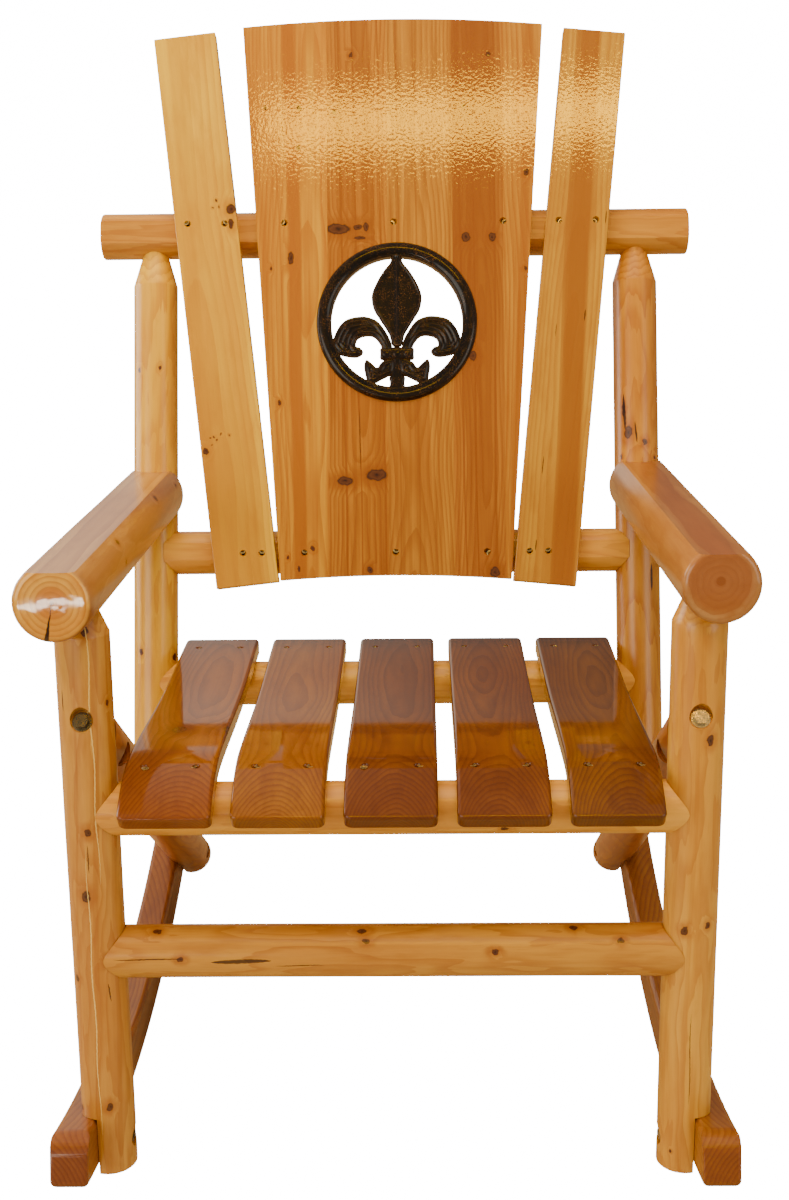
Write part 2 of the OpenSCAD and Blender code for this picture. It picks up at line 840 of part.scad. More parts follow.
// Hexagonal prism of a head or nut, standing on z = 0
module hex(h) {
  cylinder(h = h, d = hex_d, $fn = 6);
}

module washer() {
  difference() {
    cylinder(h = washer_t, d = washer_d);
    translate([0, 0, -past])
      cylinder(h = washer_t + 2 * past, r = bolt_r + hole_gap / 2);
  }
}

module nut() {
  difference() {
    hex(nut_h);
    translate([0, 0, -past])
      cylinder(h = nut_h + 2 * past, r = bolt_r + hole_gap / 2);
  }
}

module leg_bolts() {
  color(ZINC)
    for (side = [LEFT, RIGHT])
      on_leg(side) {
        translate([0, 0, leg_head_t - washer_t - head_h])
          hex(head_h);
        translate([0, 0, leg_head_t - washer_t - past])
          cylinder(h = pocket_t + 4 - leg_head_t + washer_t + past, r = bolt_r);
      }
}

module leg_washers() {
  color(ZINC)
    for (side = [LEFT, RIGHT], t = [leg_head_t - washer_t, leg_washer_t])
      on_leg(side)
        translate([0, 0, t])
          washer();
}

module leg_nuts() {
  color(ZINC)
    for (side = [LEFT, RIGHT])
      on_leg(side)
        translate([0, 0, leg_washer_t + washer_t])
          nut();
}

// Places of the four rocker bolts: z points out through the rocker's outer face
module at_rocker_bolts() {
  for (side = [LEFT, RIGHT], angle = [front_bolt_angle, rear_bolt_angle])
    on_rocker(angle)
      translate([side * (rocker_inner_x + rocker_w), 0, -rocker_mid_r])
        rotate([0, side * 90, 0])
          children();
}

rocker_nut_seat = rocker_inner_x + rocker_w - (post_x - post_r + nut_bore_depth);

module rocker_bolts() {
  grip = rocker_nut_seat + washer_t + nut_h + 1.5;
  color(ZINC)
    at_rocker_bolts() {
      intersection() {
        cylinder(h = dome_h, r = dome_r);
        translate([0, 0, dome_h - pow(dome_r, 2) / (2 * dome_h) - dome_h / 2])
          sphere(r = pow(dome_r, 2) / (2 * dome_h) + dome_h / 2);
      }
      translate([0, 0, -grip])
        cylinder(h = grip + past, r = bolt_r);
    }
}

module rocker_washers() {
  color(ZINC)
    at_rocker_bolts()
      translate([0, 0, -rocker_nut_seat - washer_t])
        washer();
}

module rocker_nuts() {
  color(ZINC)
    at_rocker_bolts()
      translate([0, 0, -rocker_nut_seat - washer_t - nut_h])
        nut();
}

// Places of the four lag screws: z points from the head's seat out of the wood
module at_lag_screws() {
  for (side = [LEFT, RIGHT]) {
    translate([side * post_x, 0, 0])
      on_back()
        translate([0, 0, back_foot_s - lag_bore_depth])
          rotate([180, 0, 0]) {
            $lag = lag_len + lag_bore_depth - past;
            children();
          }
    z = arm_axis_z(side);
    translate([side * post_x, back_y(z) + post_r - arm_bore_depth, z])
      rotate([-90, 0, 0]) {
        $lag = arm_lag_len + post_r - arm_bore_depth - past;
        children();
      }
  }
}

module lag_screws() {
  color(ZINC)
    at_lag_screws() {
      translate([0, 0, washer_t])
        hex(head_h);
      translate([0, 0, -$lag])
        cylinder(h = $lag + washer_t + past, r = bolt_r);
    }
}

module lag_washers() {
  color(ZINC)
    at_lag_screws()
      washer();
}

rest_pose() front_post(LEFT);  // front_post_left
rest_pose() front_post(RIGHT);  // front_post_right
rest_pose() rear_leg(LEFT);  // rear_leg_left
rest_pose() rear_leg(RIGHT);  // rear_leg_right
rest_pose() back_post(LEFT);  // back_post_left
rest_pose() back_post(RIGHT);  // back_post_right
rest_pose() rocker(LEFT);  // rocker_left
rest_pose() rocker(RIGHT);  // rocker_right
rest_pose() armrest(LEFT);  // armrest_left
rest_pose() armrest(RIGHT);  // armrest_right
rest_pose() seat_front_rail();
rest_pose() seat_rear_rail();
rest_pose() front_stretcher();
rest_pose() lower_back_rail();
rest_pose() top_back_rail();
rest_pose() seat_slat(-2);  // seat_slat_1
rest_pose() seat_slat(-1);  // seat_slat_2
rest_pose() seat_slat(0);  // seat_slat_3
rest_pose() seat_slat(1);  // seat_slat_4
rest_pose() seat_slat(2);  // seat_slat_5
rest_pose() back_splat(LEFT);  // back_splat_left
rest_pose() back_splat(RIGHT);  // back_splat_right
rest_pose() back_board(0);  // back_board_1
rest_pose() back_board(1, UPPER);  // back_board_2_upper
rest_pose() back_board(1, LOWER);  // back_board_2_lower
rest_pose() back_board(2, UPPER);  // back_board_3_upper
rest_pose() back_board(2, LOWER);  // back_board_3_lower
rest_pose() back_board(3);  // back_board_4
rest_pose() back_board(4);  // back_board_5
rest_pose() lily_medallion();
rest_pose() slat_screws();
rest_pose() back_screws();
rest_pose() leg_bolts();
rest_pose() leg_washers();
rest_pose() leg_nuts();
rest_pose() rocker_bolts();
rest_pose() rocker_washers();
rest_pose() rocker_nuts();
rest_pose() lag_screws();
rest_pose() lag_washers();
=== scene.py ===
"""Finished look of the log rocking chair, built around its construction model.

Lengths are metres and angles degrees. Pieces are laid out with the front posts upright, as the
construction does, and Plan.rest then leans everything back to the resting pose.
"""

import json
import logging
import math
from dataclasses import dataclass
from enum import Enum
from typing import Callable, Iterable, Sequence

import bmesh
import bpy
from mathutils import Matrix, Vector, geometry, noise

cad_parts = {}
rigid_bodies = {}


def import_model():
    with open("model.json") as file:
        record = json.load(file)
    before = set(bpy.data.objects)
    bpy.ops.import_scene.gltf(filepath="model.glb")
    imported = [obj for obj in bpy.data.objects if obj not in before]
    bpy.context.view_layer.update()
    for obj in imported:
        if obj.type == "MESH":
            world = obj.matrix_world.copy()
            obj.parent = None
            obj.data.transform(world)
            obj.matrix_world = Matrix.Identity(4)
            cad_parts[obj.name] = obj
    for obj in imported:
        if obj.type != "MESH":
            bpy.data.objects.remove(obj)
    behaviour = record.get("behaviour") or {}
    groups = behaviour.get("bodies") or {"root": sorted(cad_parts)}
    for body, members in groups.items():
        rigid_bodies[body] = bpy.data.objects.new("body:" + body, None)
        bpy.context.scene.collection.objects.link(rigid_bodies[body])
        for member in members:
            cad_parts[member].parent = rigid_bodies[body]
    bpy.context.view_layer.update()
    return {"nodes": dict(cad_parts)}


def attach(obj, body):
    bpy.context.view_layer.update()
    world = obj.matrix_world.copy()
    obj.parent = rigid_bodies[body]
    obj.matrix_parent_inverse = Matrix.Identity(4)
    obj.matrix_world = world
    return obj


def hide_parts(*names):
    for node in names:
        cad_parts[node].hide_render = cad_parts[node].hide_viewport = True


for leftover in list(bpy.data.objects):
    bpy.data.objects.remove(leftover)
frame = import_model()

LOG = logging.getLogger("chair")
MM = 0.001
LEFT = -1
RIGHT = 1
SIDES = ((LEFT, "left"), (RIGHT, "right"))
BODY = "root"
MERGE = 1e-6
NO_KNOT = 9.0
Pixel = tuple[float, float]
Point = tuple[float, float, float]
Colour = tuple[float, float, float]


def shift(x: float, y: float, z: float) -> Matrix:
    """Returns the matrix that moves by a distance."""
    return Matrix.Translation((x, y, z))


def turn(axis: str, angle: float) -> Matrix:
    """Returns the matrix that turns about a main axis by an angle in degrees."""
    return Matrix.Rotation(math.radians(angle), 4, axis)


def rounding(distance: float, radius: float) -> float:
    """Returns how far a rounded edge lies inside its face, at a distance from the end."""
    gap = max(radius - distance, 0.0)
    return radius - math.sqrt(max(radius * radius - gap * gap, 0.0))


@dataclass(frozen=True)
class Plan:
    """Driving sizes of the chair, as the construction has them."""

    post_x: float = 0.290
    seat_depth: float = 0.417
    back_lean: float = 16.4
    rest_lean: float = 7.55
    post_r: float = 0.027
    rail_r: float = 0.0265
    top_rail_r: float = 0.028
    top_rail_len: float = 0.708
    foot_z: float = 0.014
    stretcher_z: float = 0.247
    seat_rail_z: float = 0.396
    arm_r: float = 0.0375
    arm_z: float = 0.620
    arm_skew: float = 0.0035
    arm_overhang_left: float = 0.068
    arm_overhang_right: float = 0.044
    arm_out_front: float = 0.0125
    arm_out_rear: float = 0.003
    leg_start_z: float = 0.478
    leg_slope: float = 31.4
    leg_len: float = 0.768
    rocker_r: float = 1.300
    rocker_low_y: float = 0.217
    rocker_depth: float = 0.052
    rocker_w: float = 0.038
    rocker_front: float = 20.85
    rocker_rear: float = 18.15
    lap_depth: float = 0.0195
    slat_w: float = 0.089
    slat_pitch: float = 0.106
    slat_t: float = 0.020
    crest_rise: float = 0.047
    crest_y: float = 0.035
    nose_r: float = 0.153
    slat_nose: float = 0.062
    slat_tail: float = 0.039
    seat_dish: float = 0.005
    tail_fall: float = 0.002
    lower_rail_rise: float = 0.151
    top_rail_rise: float = 0.386
    board_t: float = 0.019
    rail_flat: float = 0.0025
    panel_bottom_w: float = 0.273
    splat_w: float = 0.074
    splat_fan_left: float = 6.4
    splat_fan_right: float = 5.7
    splat_gap: float = 0.0015
    splat_drop: float = 0.042
    medallion_rise: float = 0.270
    medallion_x: float = 0.003
    ring_d: float = 0.191
    ring_w: float = 0.0175
    ring_lip: float = 0.0075
    collar_depth: float = 0.012
    lily_t: float = 0.008
    ring_proud: float = 0.005

    @property
    def rest(self) -> Matrix:
        """Returns the lean that takes the upright chair to its resting pose."""
        front = math.sin(math.radians(self.rocker_front))
        rear = math.sin(math.radians(self.rocker_rear))
        rest_y = self.rocker_r * (front - rear) / 2
        centre = shift(0, rest_y, self.rocker_r)
        return centre @ turn("X", -self.rest_lean) @ shift(0, -self.rocker_low_y, -self.rocker_r)

    @property
    def lower_rail_z(self) -> float:
        """Returns the height of the lower back rail's axis."""
        return self.seat_rail_z + self.lower_rail_rise

    @property
    def face_y(self) -> float:
        """Returns where the face of the back's boards lies in the frame of the back."""
        return -(min(self.rail_r, self.top_rail_r) - self.rail_flat) - self.board_t

    def back_y(self, z: float) -> float:
        """Returns the back posts' axis at a height."""
        return self.seat_depth + math.tan(math.radians(self.back_lean)) * (z - self.seat_rail_z)

    def back(self, x: float = 0.0) -> Matrix:
        """Returns the frame of the back, on the lower rail's axis, z up along the posts."""
        z = self.lower_rail_z
        return self.rest @ shift(x, self.back_y(z), z) @ turn("X", -self.back_lean)

    def face(self) -> Matrix:
        """Returns the frame of the boards: x across, y into the wood, z up the back."""
        return self.back() @ shift(0, self.face_y, 0)

    def splat(self, side: int) -> Matrix:
        """Places a side splat.

        Args:
            side: LEFT or RIGHT.

        Returns:
            The frame of its face, with z along the splat.
        """
        fan = self.splat_fan_left if side < 0 else self.splat_fan_right
        half = self.splat_w / 2 / math.cos(math.radians(fan))
        foot = self.panel_bottom_w / 2 + self.splat_gap + half
        start = shift(side * foot, self.face_y, -self.splat_drop)
        return self.back() @ start @ turn("Y", side * fan)

    def post(self, side: int) -> Matrix:
        """Returns the frame of a front post, with z up its axis."""
        return self.rest @ shift(side * self.post_x, 0, 0)

    def leg(self, side: int) -> Matrix:
        """Returns the frame of a rear leg, with z down its axis."""
        start = shift(side * self.post_x, 0, self.leg_start_z)
        return self.rest @ start @ turn("X", -90 - self.leg_slope)

    def rail(self, y: float, z: float, lean: float = 0.0) -> Matrix:
        """Returns the frame of a rail, with z to the right along its axis."""
        return self.rest @ shift(0, y, z) @ turn("X", -lean) @ turn("Y", 90)

    def top_rail(self) -> Matrix:
        """Returns the frame of the top rail."""
        return self.back() @ shift(0, 0, self.top_rail_rise) @ turn("Y", 90)

    def arm(self, side: int) -> Matrix:
        """Places an armrest.

        Args:
            side: LEFT or RIGHT.

        Returns:
            Its frame, with z backwards from its front end.
        """
        z = self.arm_z + side * self.arm_skew
        overhang = self.arm_overhang_left if side < 0 else self.arm_overhang_right
        run = self.back_y(z) + overhang
        splay = math.degrees(math.atan((self.arm_out_front - self.arm_out_rear) / run))
        front = shift(side * (self.post_x + self.arm_out_front), -overhang, z)
        return self.rest @ front @ turn("Z", side * splay) @ turn("X", -90)

    def plank(self, x: float, y: float, z: float) -> Matrix:
        """Returns a level plank's frame: x across, y down into the wood, z backwards."""
        return self.rest @ shift(x, y, z) @ turn("X", -90)


PLAN = Plan()


@dataclass(frozen=True)
class PhotoCamera:
    """Camera that took the photograph, fitted with the front posts upright."""

    width: int = 789
    height: int = 1200
    lens_mm: float = 33.953
    sensor_mm: float = 24.0
    pitch: float = 13.994
    yaw: float = -0.938
    roll: float = -0.633
    place: Point = (0.0299, -1.5379, 0.985)

    def matrix(self) -> Matrix:
        """Returns the camera's place and turn in the resting pose."""
        th, ps, ro = (math.radians(a) for a in (self.pitch, self.yaw, self.roll))
        level = Vector((math.cos(ps), -math.sin(ps), 0))
        low = Vector((-math.sin(th) * math.sin(ps), -math.sin(th) * math.cos(ps), -math.cos(th)))
        ahead = Vector((math.cos(th) * math.sin(ps), math.cos(th) * math.cos(ps), -math.sin(th)))
        right = math.cos(ro) * level - math.sin(ro) * low
        down = math.sin(ro) * level + math.cos(ro) * low
        columns = Matrix((right, -down, -ahead)).transposed().to_4x4()
        return PLAN.rest @ Matrix.Translation(self.place) @ columns

    def ray(self, pixel: Pixel) -> tuple[Vector, Vector]:
        """Follows the line of sight through a pixel.

        Args:
            pixel: Place in the photograph, right and down.

        Returns:
            Its start and its direction.
        """
        scale = self.sensor_mm / self.lens_mm / self.height
        x = (pixel[0] - self.width / 2) * scale
        y = (self.height / 2 - pixel[1]) * scale
        matrix = self.matrix()
        return matrix.translation, (matrix.to_3x3() @ Vector((x, y, -1))).normalized()

    def build(self) -> bpy.types.Object:
        """Makes the camera and sets it as the scene's."""
        data = bpy.data.cameras.new("photo_camera")
        data.sensor_fit = "VERTICAL"
        data.sensor_height = self.sensor_mm
        data.lens = self.lens_mm
        camera = bpy.data.objects.new("photo_camera", data)
        camera.matrix_world = self.matrix()
        bpy.context.collection.objects.link(camera)
        bpy.context.scene.camera = camera
        return camera


CAMERA = PhotoCamera()


class Wire:
    """A socket that takes part in sums, so that a node tree reads as a formula."""

    def __init__(self, graph: "Graph", socket: bpy.types.NodeSocket) -> None:
        """Keeps the socket and the graph that its tree belongs to."""
        self.graph = graph
        self.socket = socket

    def __add__(self, other: "Term") -> "Wire":
        """Returns the sum."""
        return self.graph.math("ADD", self, other)

    def __sub__(self, other: "Term") -> "Wire":
        """Returns the difference."""
        return self.graph.math("SUBTRACT", self, other)

    def __rsub__(self, other: float) -> "Wire":
        """Returns a number less this value."""
        return self.graph.math("SUBTRACT", other, self)

    def __mul__(self, other: "Term") -> "Wire":
        """Returns the product."""
        return self.graph.math("MULTIPLY", self, other)

    def __truediv__(self, other: "Term") -> "Wire":
        """Returns the quotient."""
        return self.graph.math("DIVIDE", self, other)


Term = Wire | float


class Graph:
    """Adds nodes to a shader or geometry tree."""

    def __init__(self, tree: bpy.types.NodeTree) -> None:
        """Starts on a tree that is empty or already has nodes."""
        self.tree = tree

    def feed(self, socket: bpy.types.NodeSocket, value: object) -> None:
        """Links a wire into a socket, or writes a constant there."""
        if isinstance(value, Wire):
            self.tree.links.new(value.socket, socket)
            return
        if socket.type == "RGBA" and len(value) == 3:
            value = (*value, 1.0)
        socket.default_value = value

    def node(self, kind: str, inputs: dict | None = None, **settings: object) -> bpy.types.Node:
        """Adds a node.

        Args:
            kind: The node's type name.
            inputs: Values or wires by input name or index.
            settings: Properties of the node, set before its inputs.

        Returns:
            The new node.
        """
        node = self.tree.nodes.new(kind)
        for name, value in settings.items():
            setattr(node, name, value)
        for name, value in (inputs or {}).items():
            self.feed(node.inputs[name], value)
        return node

    def out(self, node: bpy.types.Node, name: str | int = 0) -> Wire:
        """Returns a node's output as a wire."""
        return Wire(self, node.outputs[name])

    def math(self, operation: str, *terms: Term) -> Wire:
        """Returns the result of a Math node."""
        inputs = dict(enumerate(terms))
        return self.out(self.node("ShaderNodeMath", inputs, operation=operation))

    def vector(self, operation: str, *terms: object, output: str = "Vector") -> Wire:
        """Adds a Vector Math node.

        Args:
            operation: Its operation.
            terms: Its operands, wires or constants.
            output: The output to read.

        Returns:
            The result.
        """
        node = self.node("ShaderNodeVectorMath", operation=operation)
        for index, term in enumerate(terms):
            self.feed(node.inputs["Scale" if operation == "SCALE" and index else index], term)
        return self.out(node, output)

    def step(self, value: Term, low: float, high: float) -> Wire:
        """Adds a smooth step.

        Args:
            value: What is tested.
            low: Value that gives 0.
            high: Value that gives 1.

        Returns:
            The step, from 0 to 1.
        """
        inputs = {"Value": value, "From Min": low, "From Max": high}
        node = self.node("ShaderNodeMapRange", inputs, interpolation_type="SMOOTHSTEP")
        return self.out(node)

    def blend(self, factor: Term, first: object, second: object, mode: str = "MIX") -> Wire:
        """Adds a mix of two colours.

        Args:
            factor: Share of the second colour.
            first: First colour.
            second: Second colour.
            mode: Way of mixing.

        Returns:
            The mixed colour.
        """
        node = self.node("ShaderNodeMix", data_type="RGBA", blend_type=mode)
        for index, value in ((0, factor), (6, first), (7, second)):
            self.feed(node.inputs[index], value)
        return self.out(node, 2)

    def noise(self, at: object, scale: float, detail: float = 2.0, rough: float = 0.5) -> Wire:
        """Returns the value of a 3-D noise."""
        inputs = {"Vector": at, "Scale": scale, "Detail": detail, "Roughness": rough}
        return self.out(self.node("ShaderNodeTexNoise", inputs))

    def grain(self, at: Wire, scales: Point, detail: float = 1.0, rough: float = 0.5) -> Wire:
        """Returns a noise with a scale of its own along each axis."""
        return self.noise(self.stretched(at, *scales), 1.0, detail, rough)

    def stretched(self, at: object, x: float, y: float, z: float) -> Wire:
        """Returns a vector scaled along each axis."""
        return self.vector("MULTIPLY", at, (x, y, z))

    def combine(self, x: Term, y: Term, z: Term) -> Wire:
        """Returns a vector of three values."""
        return self.out(self.node("ShaderNodeCombineXYZ", {0: x, 1: y, 2: z}))

    def split(self, at: Wire) -> tuple[Wire, Wire, Wire]:
        """Returns the three values of a vector."""
        node = self.node("ShaderNodeSeparateXYZ", {0: at})
        return self.out(node, 0), self.out(node, 1), self.out(node, 2)

    def ramp(self, value: Term, stops: Sequence[tuple[float, Colour]]) -> Wire:
        """Adds a ramp of colours.

        Args:
            value: Where on the ramp to read.
            stops: Places and colours.

        Returns:
            The colour at that place.
        """
        node = self.node("ShaderNodeValToRGB", {0: value})
        points = node.color_ramp.elements
        while len(points) < len(stops):
            points.new(1.0)
        for point, (place, colour) in zip(points, stops):
            point.position = place
            point.color = (*colour, 1.0)
        return self.out(node)

    def group(self, name: str, **inputs: object) -> bpy.types.Node:
        """Adds a shader node group with its inputs."""
        return self.node("ShaderNodeGroup", inputs, node_tree=bpy.data.node_groups[name])

    def object_point(self) -> Wire:
        """Returns the shaded point in object coordinates."""
        return self.out(self.node("ShaderNodeTexCoord"), "Object")

    def bump(self, height: Wire, strength: float, distance: float) -> Wire:
        """Returns the normal that a height gives."""
        inputs = {"Height": height, "Strength": strength, "Distance": distance}
        return self.out(self.node("ShaderNodeBump", inputs))

    def show(self, inputs: dict[str, object]) -> None:
        """Ends a material in a Principled shader with these inputs."""
        surface = self.out(self.node("ShaderNodeBsdfPrincipled", inputs))
        self.node("ShaderNodeOutputMaterial", {"Surface": surface})


def new_material(name: str) -> bpy.types.Material:
    """Returns a material with an empty node tree."""
    material = bpy.data.materials.new(name)
    material.use_nodes = True
    material.node_tree.nodes.clear()
    return material


class SocketKind(Enum):
    """Kinds of sockets on node groups."""

    VALUE = "NodeSocketFloat"
    VECTOR = "NodeSocketVector"
    GEOMETRY = "NodeSocketGeometry"
    MATERIAL = "NodeSocketMaterial"
    OBJECT = "NodeSocketObject"


Sockets = dict[SocketKind, tuple[str, ...]]


class Effect:
    """A node group under construction: its graph, and its inputs as wires."""

    def __init__(
        self, name: str, inputs: Sockets, outputs: Sockets, tree_kind: str = "ShaderNodeTree"
    ) -> None:
        """Makes the group's tree and its sockets.

        Args:
            name: Name of the group.
            inputs: Names of its inputs, by kind.
            outputs: Names of its outputs, by kind.
            tree_kind: Shader or geometry tree.
        """
        self.tree = bpy.data.node_groups.new(name, tree_kind)
        for direction, sockets in (("INPUT", inputs), ("OUTPUT", outputs)):
            for kind, names in sockets.items():
                for socket in names:
                    self.tree.interface.new_socket(
                        name=socket, in_out=direction, socket_type=kind.value
                    )
        self.graph = Graph(self.tree)
        self.source = self.tree.nodes.new("NodeGroupInput")
        self.sink = self.tree.nodes.new("NodeGroupOutput")

    def given(self, name: str) -> Wire:
        """Returns an input of the group as a wire."""
        return Wire(self.graph, self.source.outputs[name])

    def gives(self, **outputs: object) -> None:
        """Links the group's outputs."""
        for name, value in outputs.items():
            self.graph.feed(self.sink.inputs[name], value)

    def about_mark(self) -> tuple[Wire, Wire, Wire]:
        """Returns the distances from a mark's centre: across, along z and outwards."""
        g = self.graph
        away = g.vector("SUBTRACT", self.given("Vector"), self.given("Centre"))
        across = g.vector("DOT_PRODUCT", away, self.given("Across"), output="Value")
        out = g.vector("DOT_PRODUCT", away, self.given("Out"), output="Value")
        return across, g.split(away)[2], out


VALUE, VECTOR = SocketKind.VALUE, SocketKind.VECTOR
# Scales of the noises, per metre: across, across and along the grain.
SWAY_ALONG = 3.1
RIPPLE = (26, 26, 5)
FINE_RIPPLE = (210, 210, 24)
HAIR = (1400, 1400, 30)
STREAK = (130, 130, 3.5)
BLOTCH = (13, 13, 3.2)
DASH = (520, 520, 26)
MOTTLE = (62, 62, 15)
POOL = (46, 46, 16)
# Scales of the noises that are alike in all directions, and of a crack's waves.
PEEL, CRACK_EDGE, CRACK_WAVES = 270.0, 300.0, 61.0
WORN_PATCH, SPECKS, GRIT = 95.0, 900.0, 700.0
# How a seed shifts the noises, the share of the fine ripple and the height of the pools.
SEED_TURN, SEED_SIDE, SEED_ALONG = 1.7, 0.7, 0.3
FINE_SHARE = 0.10
POOL_HEIGHT = 0.26
CRACK_RAGGED = 0.0012
# Values between which a step rises from 0 to 1.
LATEWOOD_RISE, LATEWOOD_FALL = (0.30, 0.93), (1.0, 0.95)
STREAK_STEP, DASH_STEP, MOTTLE_STEP = (0.35, 0.75), (0.68, 0.76), (0.47, 0.70)
CRACK_SIDE, CRACK_TIP = (1.25, 0.6), (1.0, 0.97)
SPECK_STEP, WORN_STEP, EDGE_STEP = (0.56, 0.66), (0.42, 0.62), (0.51, 0.58)
# Depths below a mark's own face between which it fades out.
MARK_NEAR, MARK_FAR = -0.012, -0.03


def build_rings() -> None:
    """Builds the growth rings about a pith that wanders along the grain."""
    rings = Effect(
        "growth_rings",
        {VECTOR: ("Vector", "Pith"), VALUE: ("Drift", "Spacing", "Wander", "Seed", "Bulge")},
        {VALUE: ("Ring", "Tone", "Radius")},
    )
    g = rings.graph
    at, seed, wander = rings.given("Vector"), rings.given("Seed"), rings.given("Wander")
    x, y, z = g.split(at)
    along = g.combine(seed, seed * SEED_TURN, z * SWAY_ALONG)
    swing = g.node("ShaderNodeTexNoise", {"Vector": along, "Scale": 1.0, "Detail": 1.0})
    sway_x, sway_y, _ = g.split(g.out(swing, "Color"))
    pith_x, pith_y, _ = g.split(rings.given("Pith"))
    off_x = x - pith_x - (sway_x - 0.5) * rings.given("Drift")
    off_y = y - pith_y - (sway_y - 0.5) * rings.given("Drift")
    radius = g.math("SQRT", off_x * off_x + off_y * off_y)
    moved = g.vector("ADD", g.stretched(at, *RIPPLE), g.combine(seed, seed, seed))
    ripple = (g.noise(moved, 1.0, 2.0) - 0.5) * wander
    fine = (g.grain(at, FINE_RIPPLE) - 0.5) * wander * FINE_SHARE
    count = (radius + ripple + fine + rings.given("Bulge")) / rings.given("Spacing")
    phase = g.math("FRACT", count)
    number = g.math("FLOOR", count) + seed
    lot = g.node("ShaderNodeTexWhiteNoise", {"W": number}, noise_dimensions="1D")
    line = g.step(phase, *LATEWOOD_RISE) * g.step(phase, *LATEWOOD_FALL)
    rings.gives(Ring=line, Tone=g.out(lot, "Value"), Radius=radius)


def build_fibre() -> None:
    """Builds the wood's fibres, streaks, blotches, dashes and mottle."""
    fibre = Effect(
        "fibre", {VECTOR: ("Vector",), VALUE: ("Seed",)},
        {VALUE: ("Fibre", "Streak", "Blotch", "Dash", "Mottle")},
    )
    g = fibre.graph
    seed = fibre.given("Seed")
    moved = g.combine(seed, seed * SEED_SIDE, seed * SEED_ALONG)
    at = g.vector("ADD", fibre.given("Vector"), moved)
    fibre.gives(
        Fibre=g.grain(at, HAIR, 2.0, 0.6),
        Streak=g.step(g.grain(at, STREAK, 3.0, 0.6), *STREAK_STEP),
        Blotch=g.grain(at, BLOTCH, 2.0),
        Dash=g.step(g.grain(at, DASH), *DASH_STEP),
        Mottle=g.step(g.grain(at, MOTTLE, 4.0, 0.6), *MOTTLE_STEP),
    )


def build_knot() -> None:
    """Builds the distance to the nearer of a knot and the knots before it."""
    knot = Effect(
        "knot",
        {VECTOR: ("Vector", "Centre", "Across", "Out"), VALUE: ("Width", "Length", "Nearest")},
        {VALUE: ("Nearest",)},
    )
    g = knot.graph
    across, along, out = knot.about_mark()
    side = across / knot.given("Width")
    lengthwise = along / knot.given("Length")
    far_side = g.step(out, MARK_NEAR, MARK_FAR) * NO_KNOT
    distance = g.math("SQRT", side * side + lengthwise * lengthwise) * 2.0 + far_side
    knot.gives(Nearest=g.math("MINIMUM", distance, knot.given("Nearest")))


def build_split() -> None:
    """Builds the mask of a crack along the grain and of the cracks before it."""
    split = Effect(
        "split",
        {
            VECTOR: ("Vector", "Centre", "Across", "Out"),
            VALUE: ("Width", "Length", "Sway", "Mask"),
        },
        {VALUE: ("Mask",)},
    )
    g = split.graph
    across, along, out = split.about_mark()
    share = g.math("ABSOLUTE", along / split.given("Length") * 2.0)
    bend = g.math("SINE", along * CRACK_WAVES) * split.given("Sway")
    ragged = (g.noise(split.given("Vector"), CRACK_EDGE, 2.0) - 0.5) * CRACK_RAGGED
    reach = split.given("Width") * (1.0 - g.math("POWER", share, 3.0)) * 0.5
    gap = g.math("ABSOLUTE", across + bend + ragged)
    near = g.step(out, MARK_FAR, MARK_NEAR)
    mask = g.step(gap / reach, *CRACK_SIDE) * g.step(share, *CRACK_TIP) * near
    split.gives(Mask=g.math("MAXIMUM", mask, split.given("Mask")))


def build_varnish() -> None:
    """Builds the height of the varnish film: slow pools and orange peel."""
    varnish = Effect("varnish", {VECTOR: ("Vector",), VALUE: ("Peel",)}, {VALUE: ("Height",)})
    g = varnish.graph
    at = varnish.given("Vector")
    pool = g.grain(at, POOL, 2.0)
    peel = g.noise(at, PEEL, 1.5) * varnish.given("Peel")
    varnish.gives(Height=pool * POOL_HEIGHT + peel)


def build_wear() -> None:
    """Builds the wear of cast iron: bare edges that also carry a painted highlight, specks and
    grit.
    """
    wear = Effect("cast_wear", {VECTOR: ("Vector",)}, {VALUE: ("Raised", "Speckle", "Grit")})
    g = wear.graph
    at = wear.given("Vector")
    sharp = g.out(g.node("ShaderNodeNewGeometry"), "Pointiness")
    patch = g.step(g.noise(at, WORN_PATCH, 4.0, 0.7), *WORN_STEP)
    speck = g.step(g.noise(at, SPECKS, 2.0, 0.6), *SPECK_STEP) * patch
    wear.gives(Raised=g.step(sharp, *EDGE_STEP), Speckle=speck, Grit=g.noise(at, GRIT, 3.0))


def build_effects() -> None:
    """Builds the shader node groups that the finishes share."""
    for build in (build_rings, build_fibre, build_knot, build_split, build_varnish, build_wear):
        build()


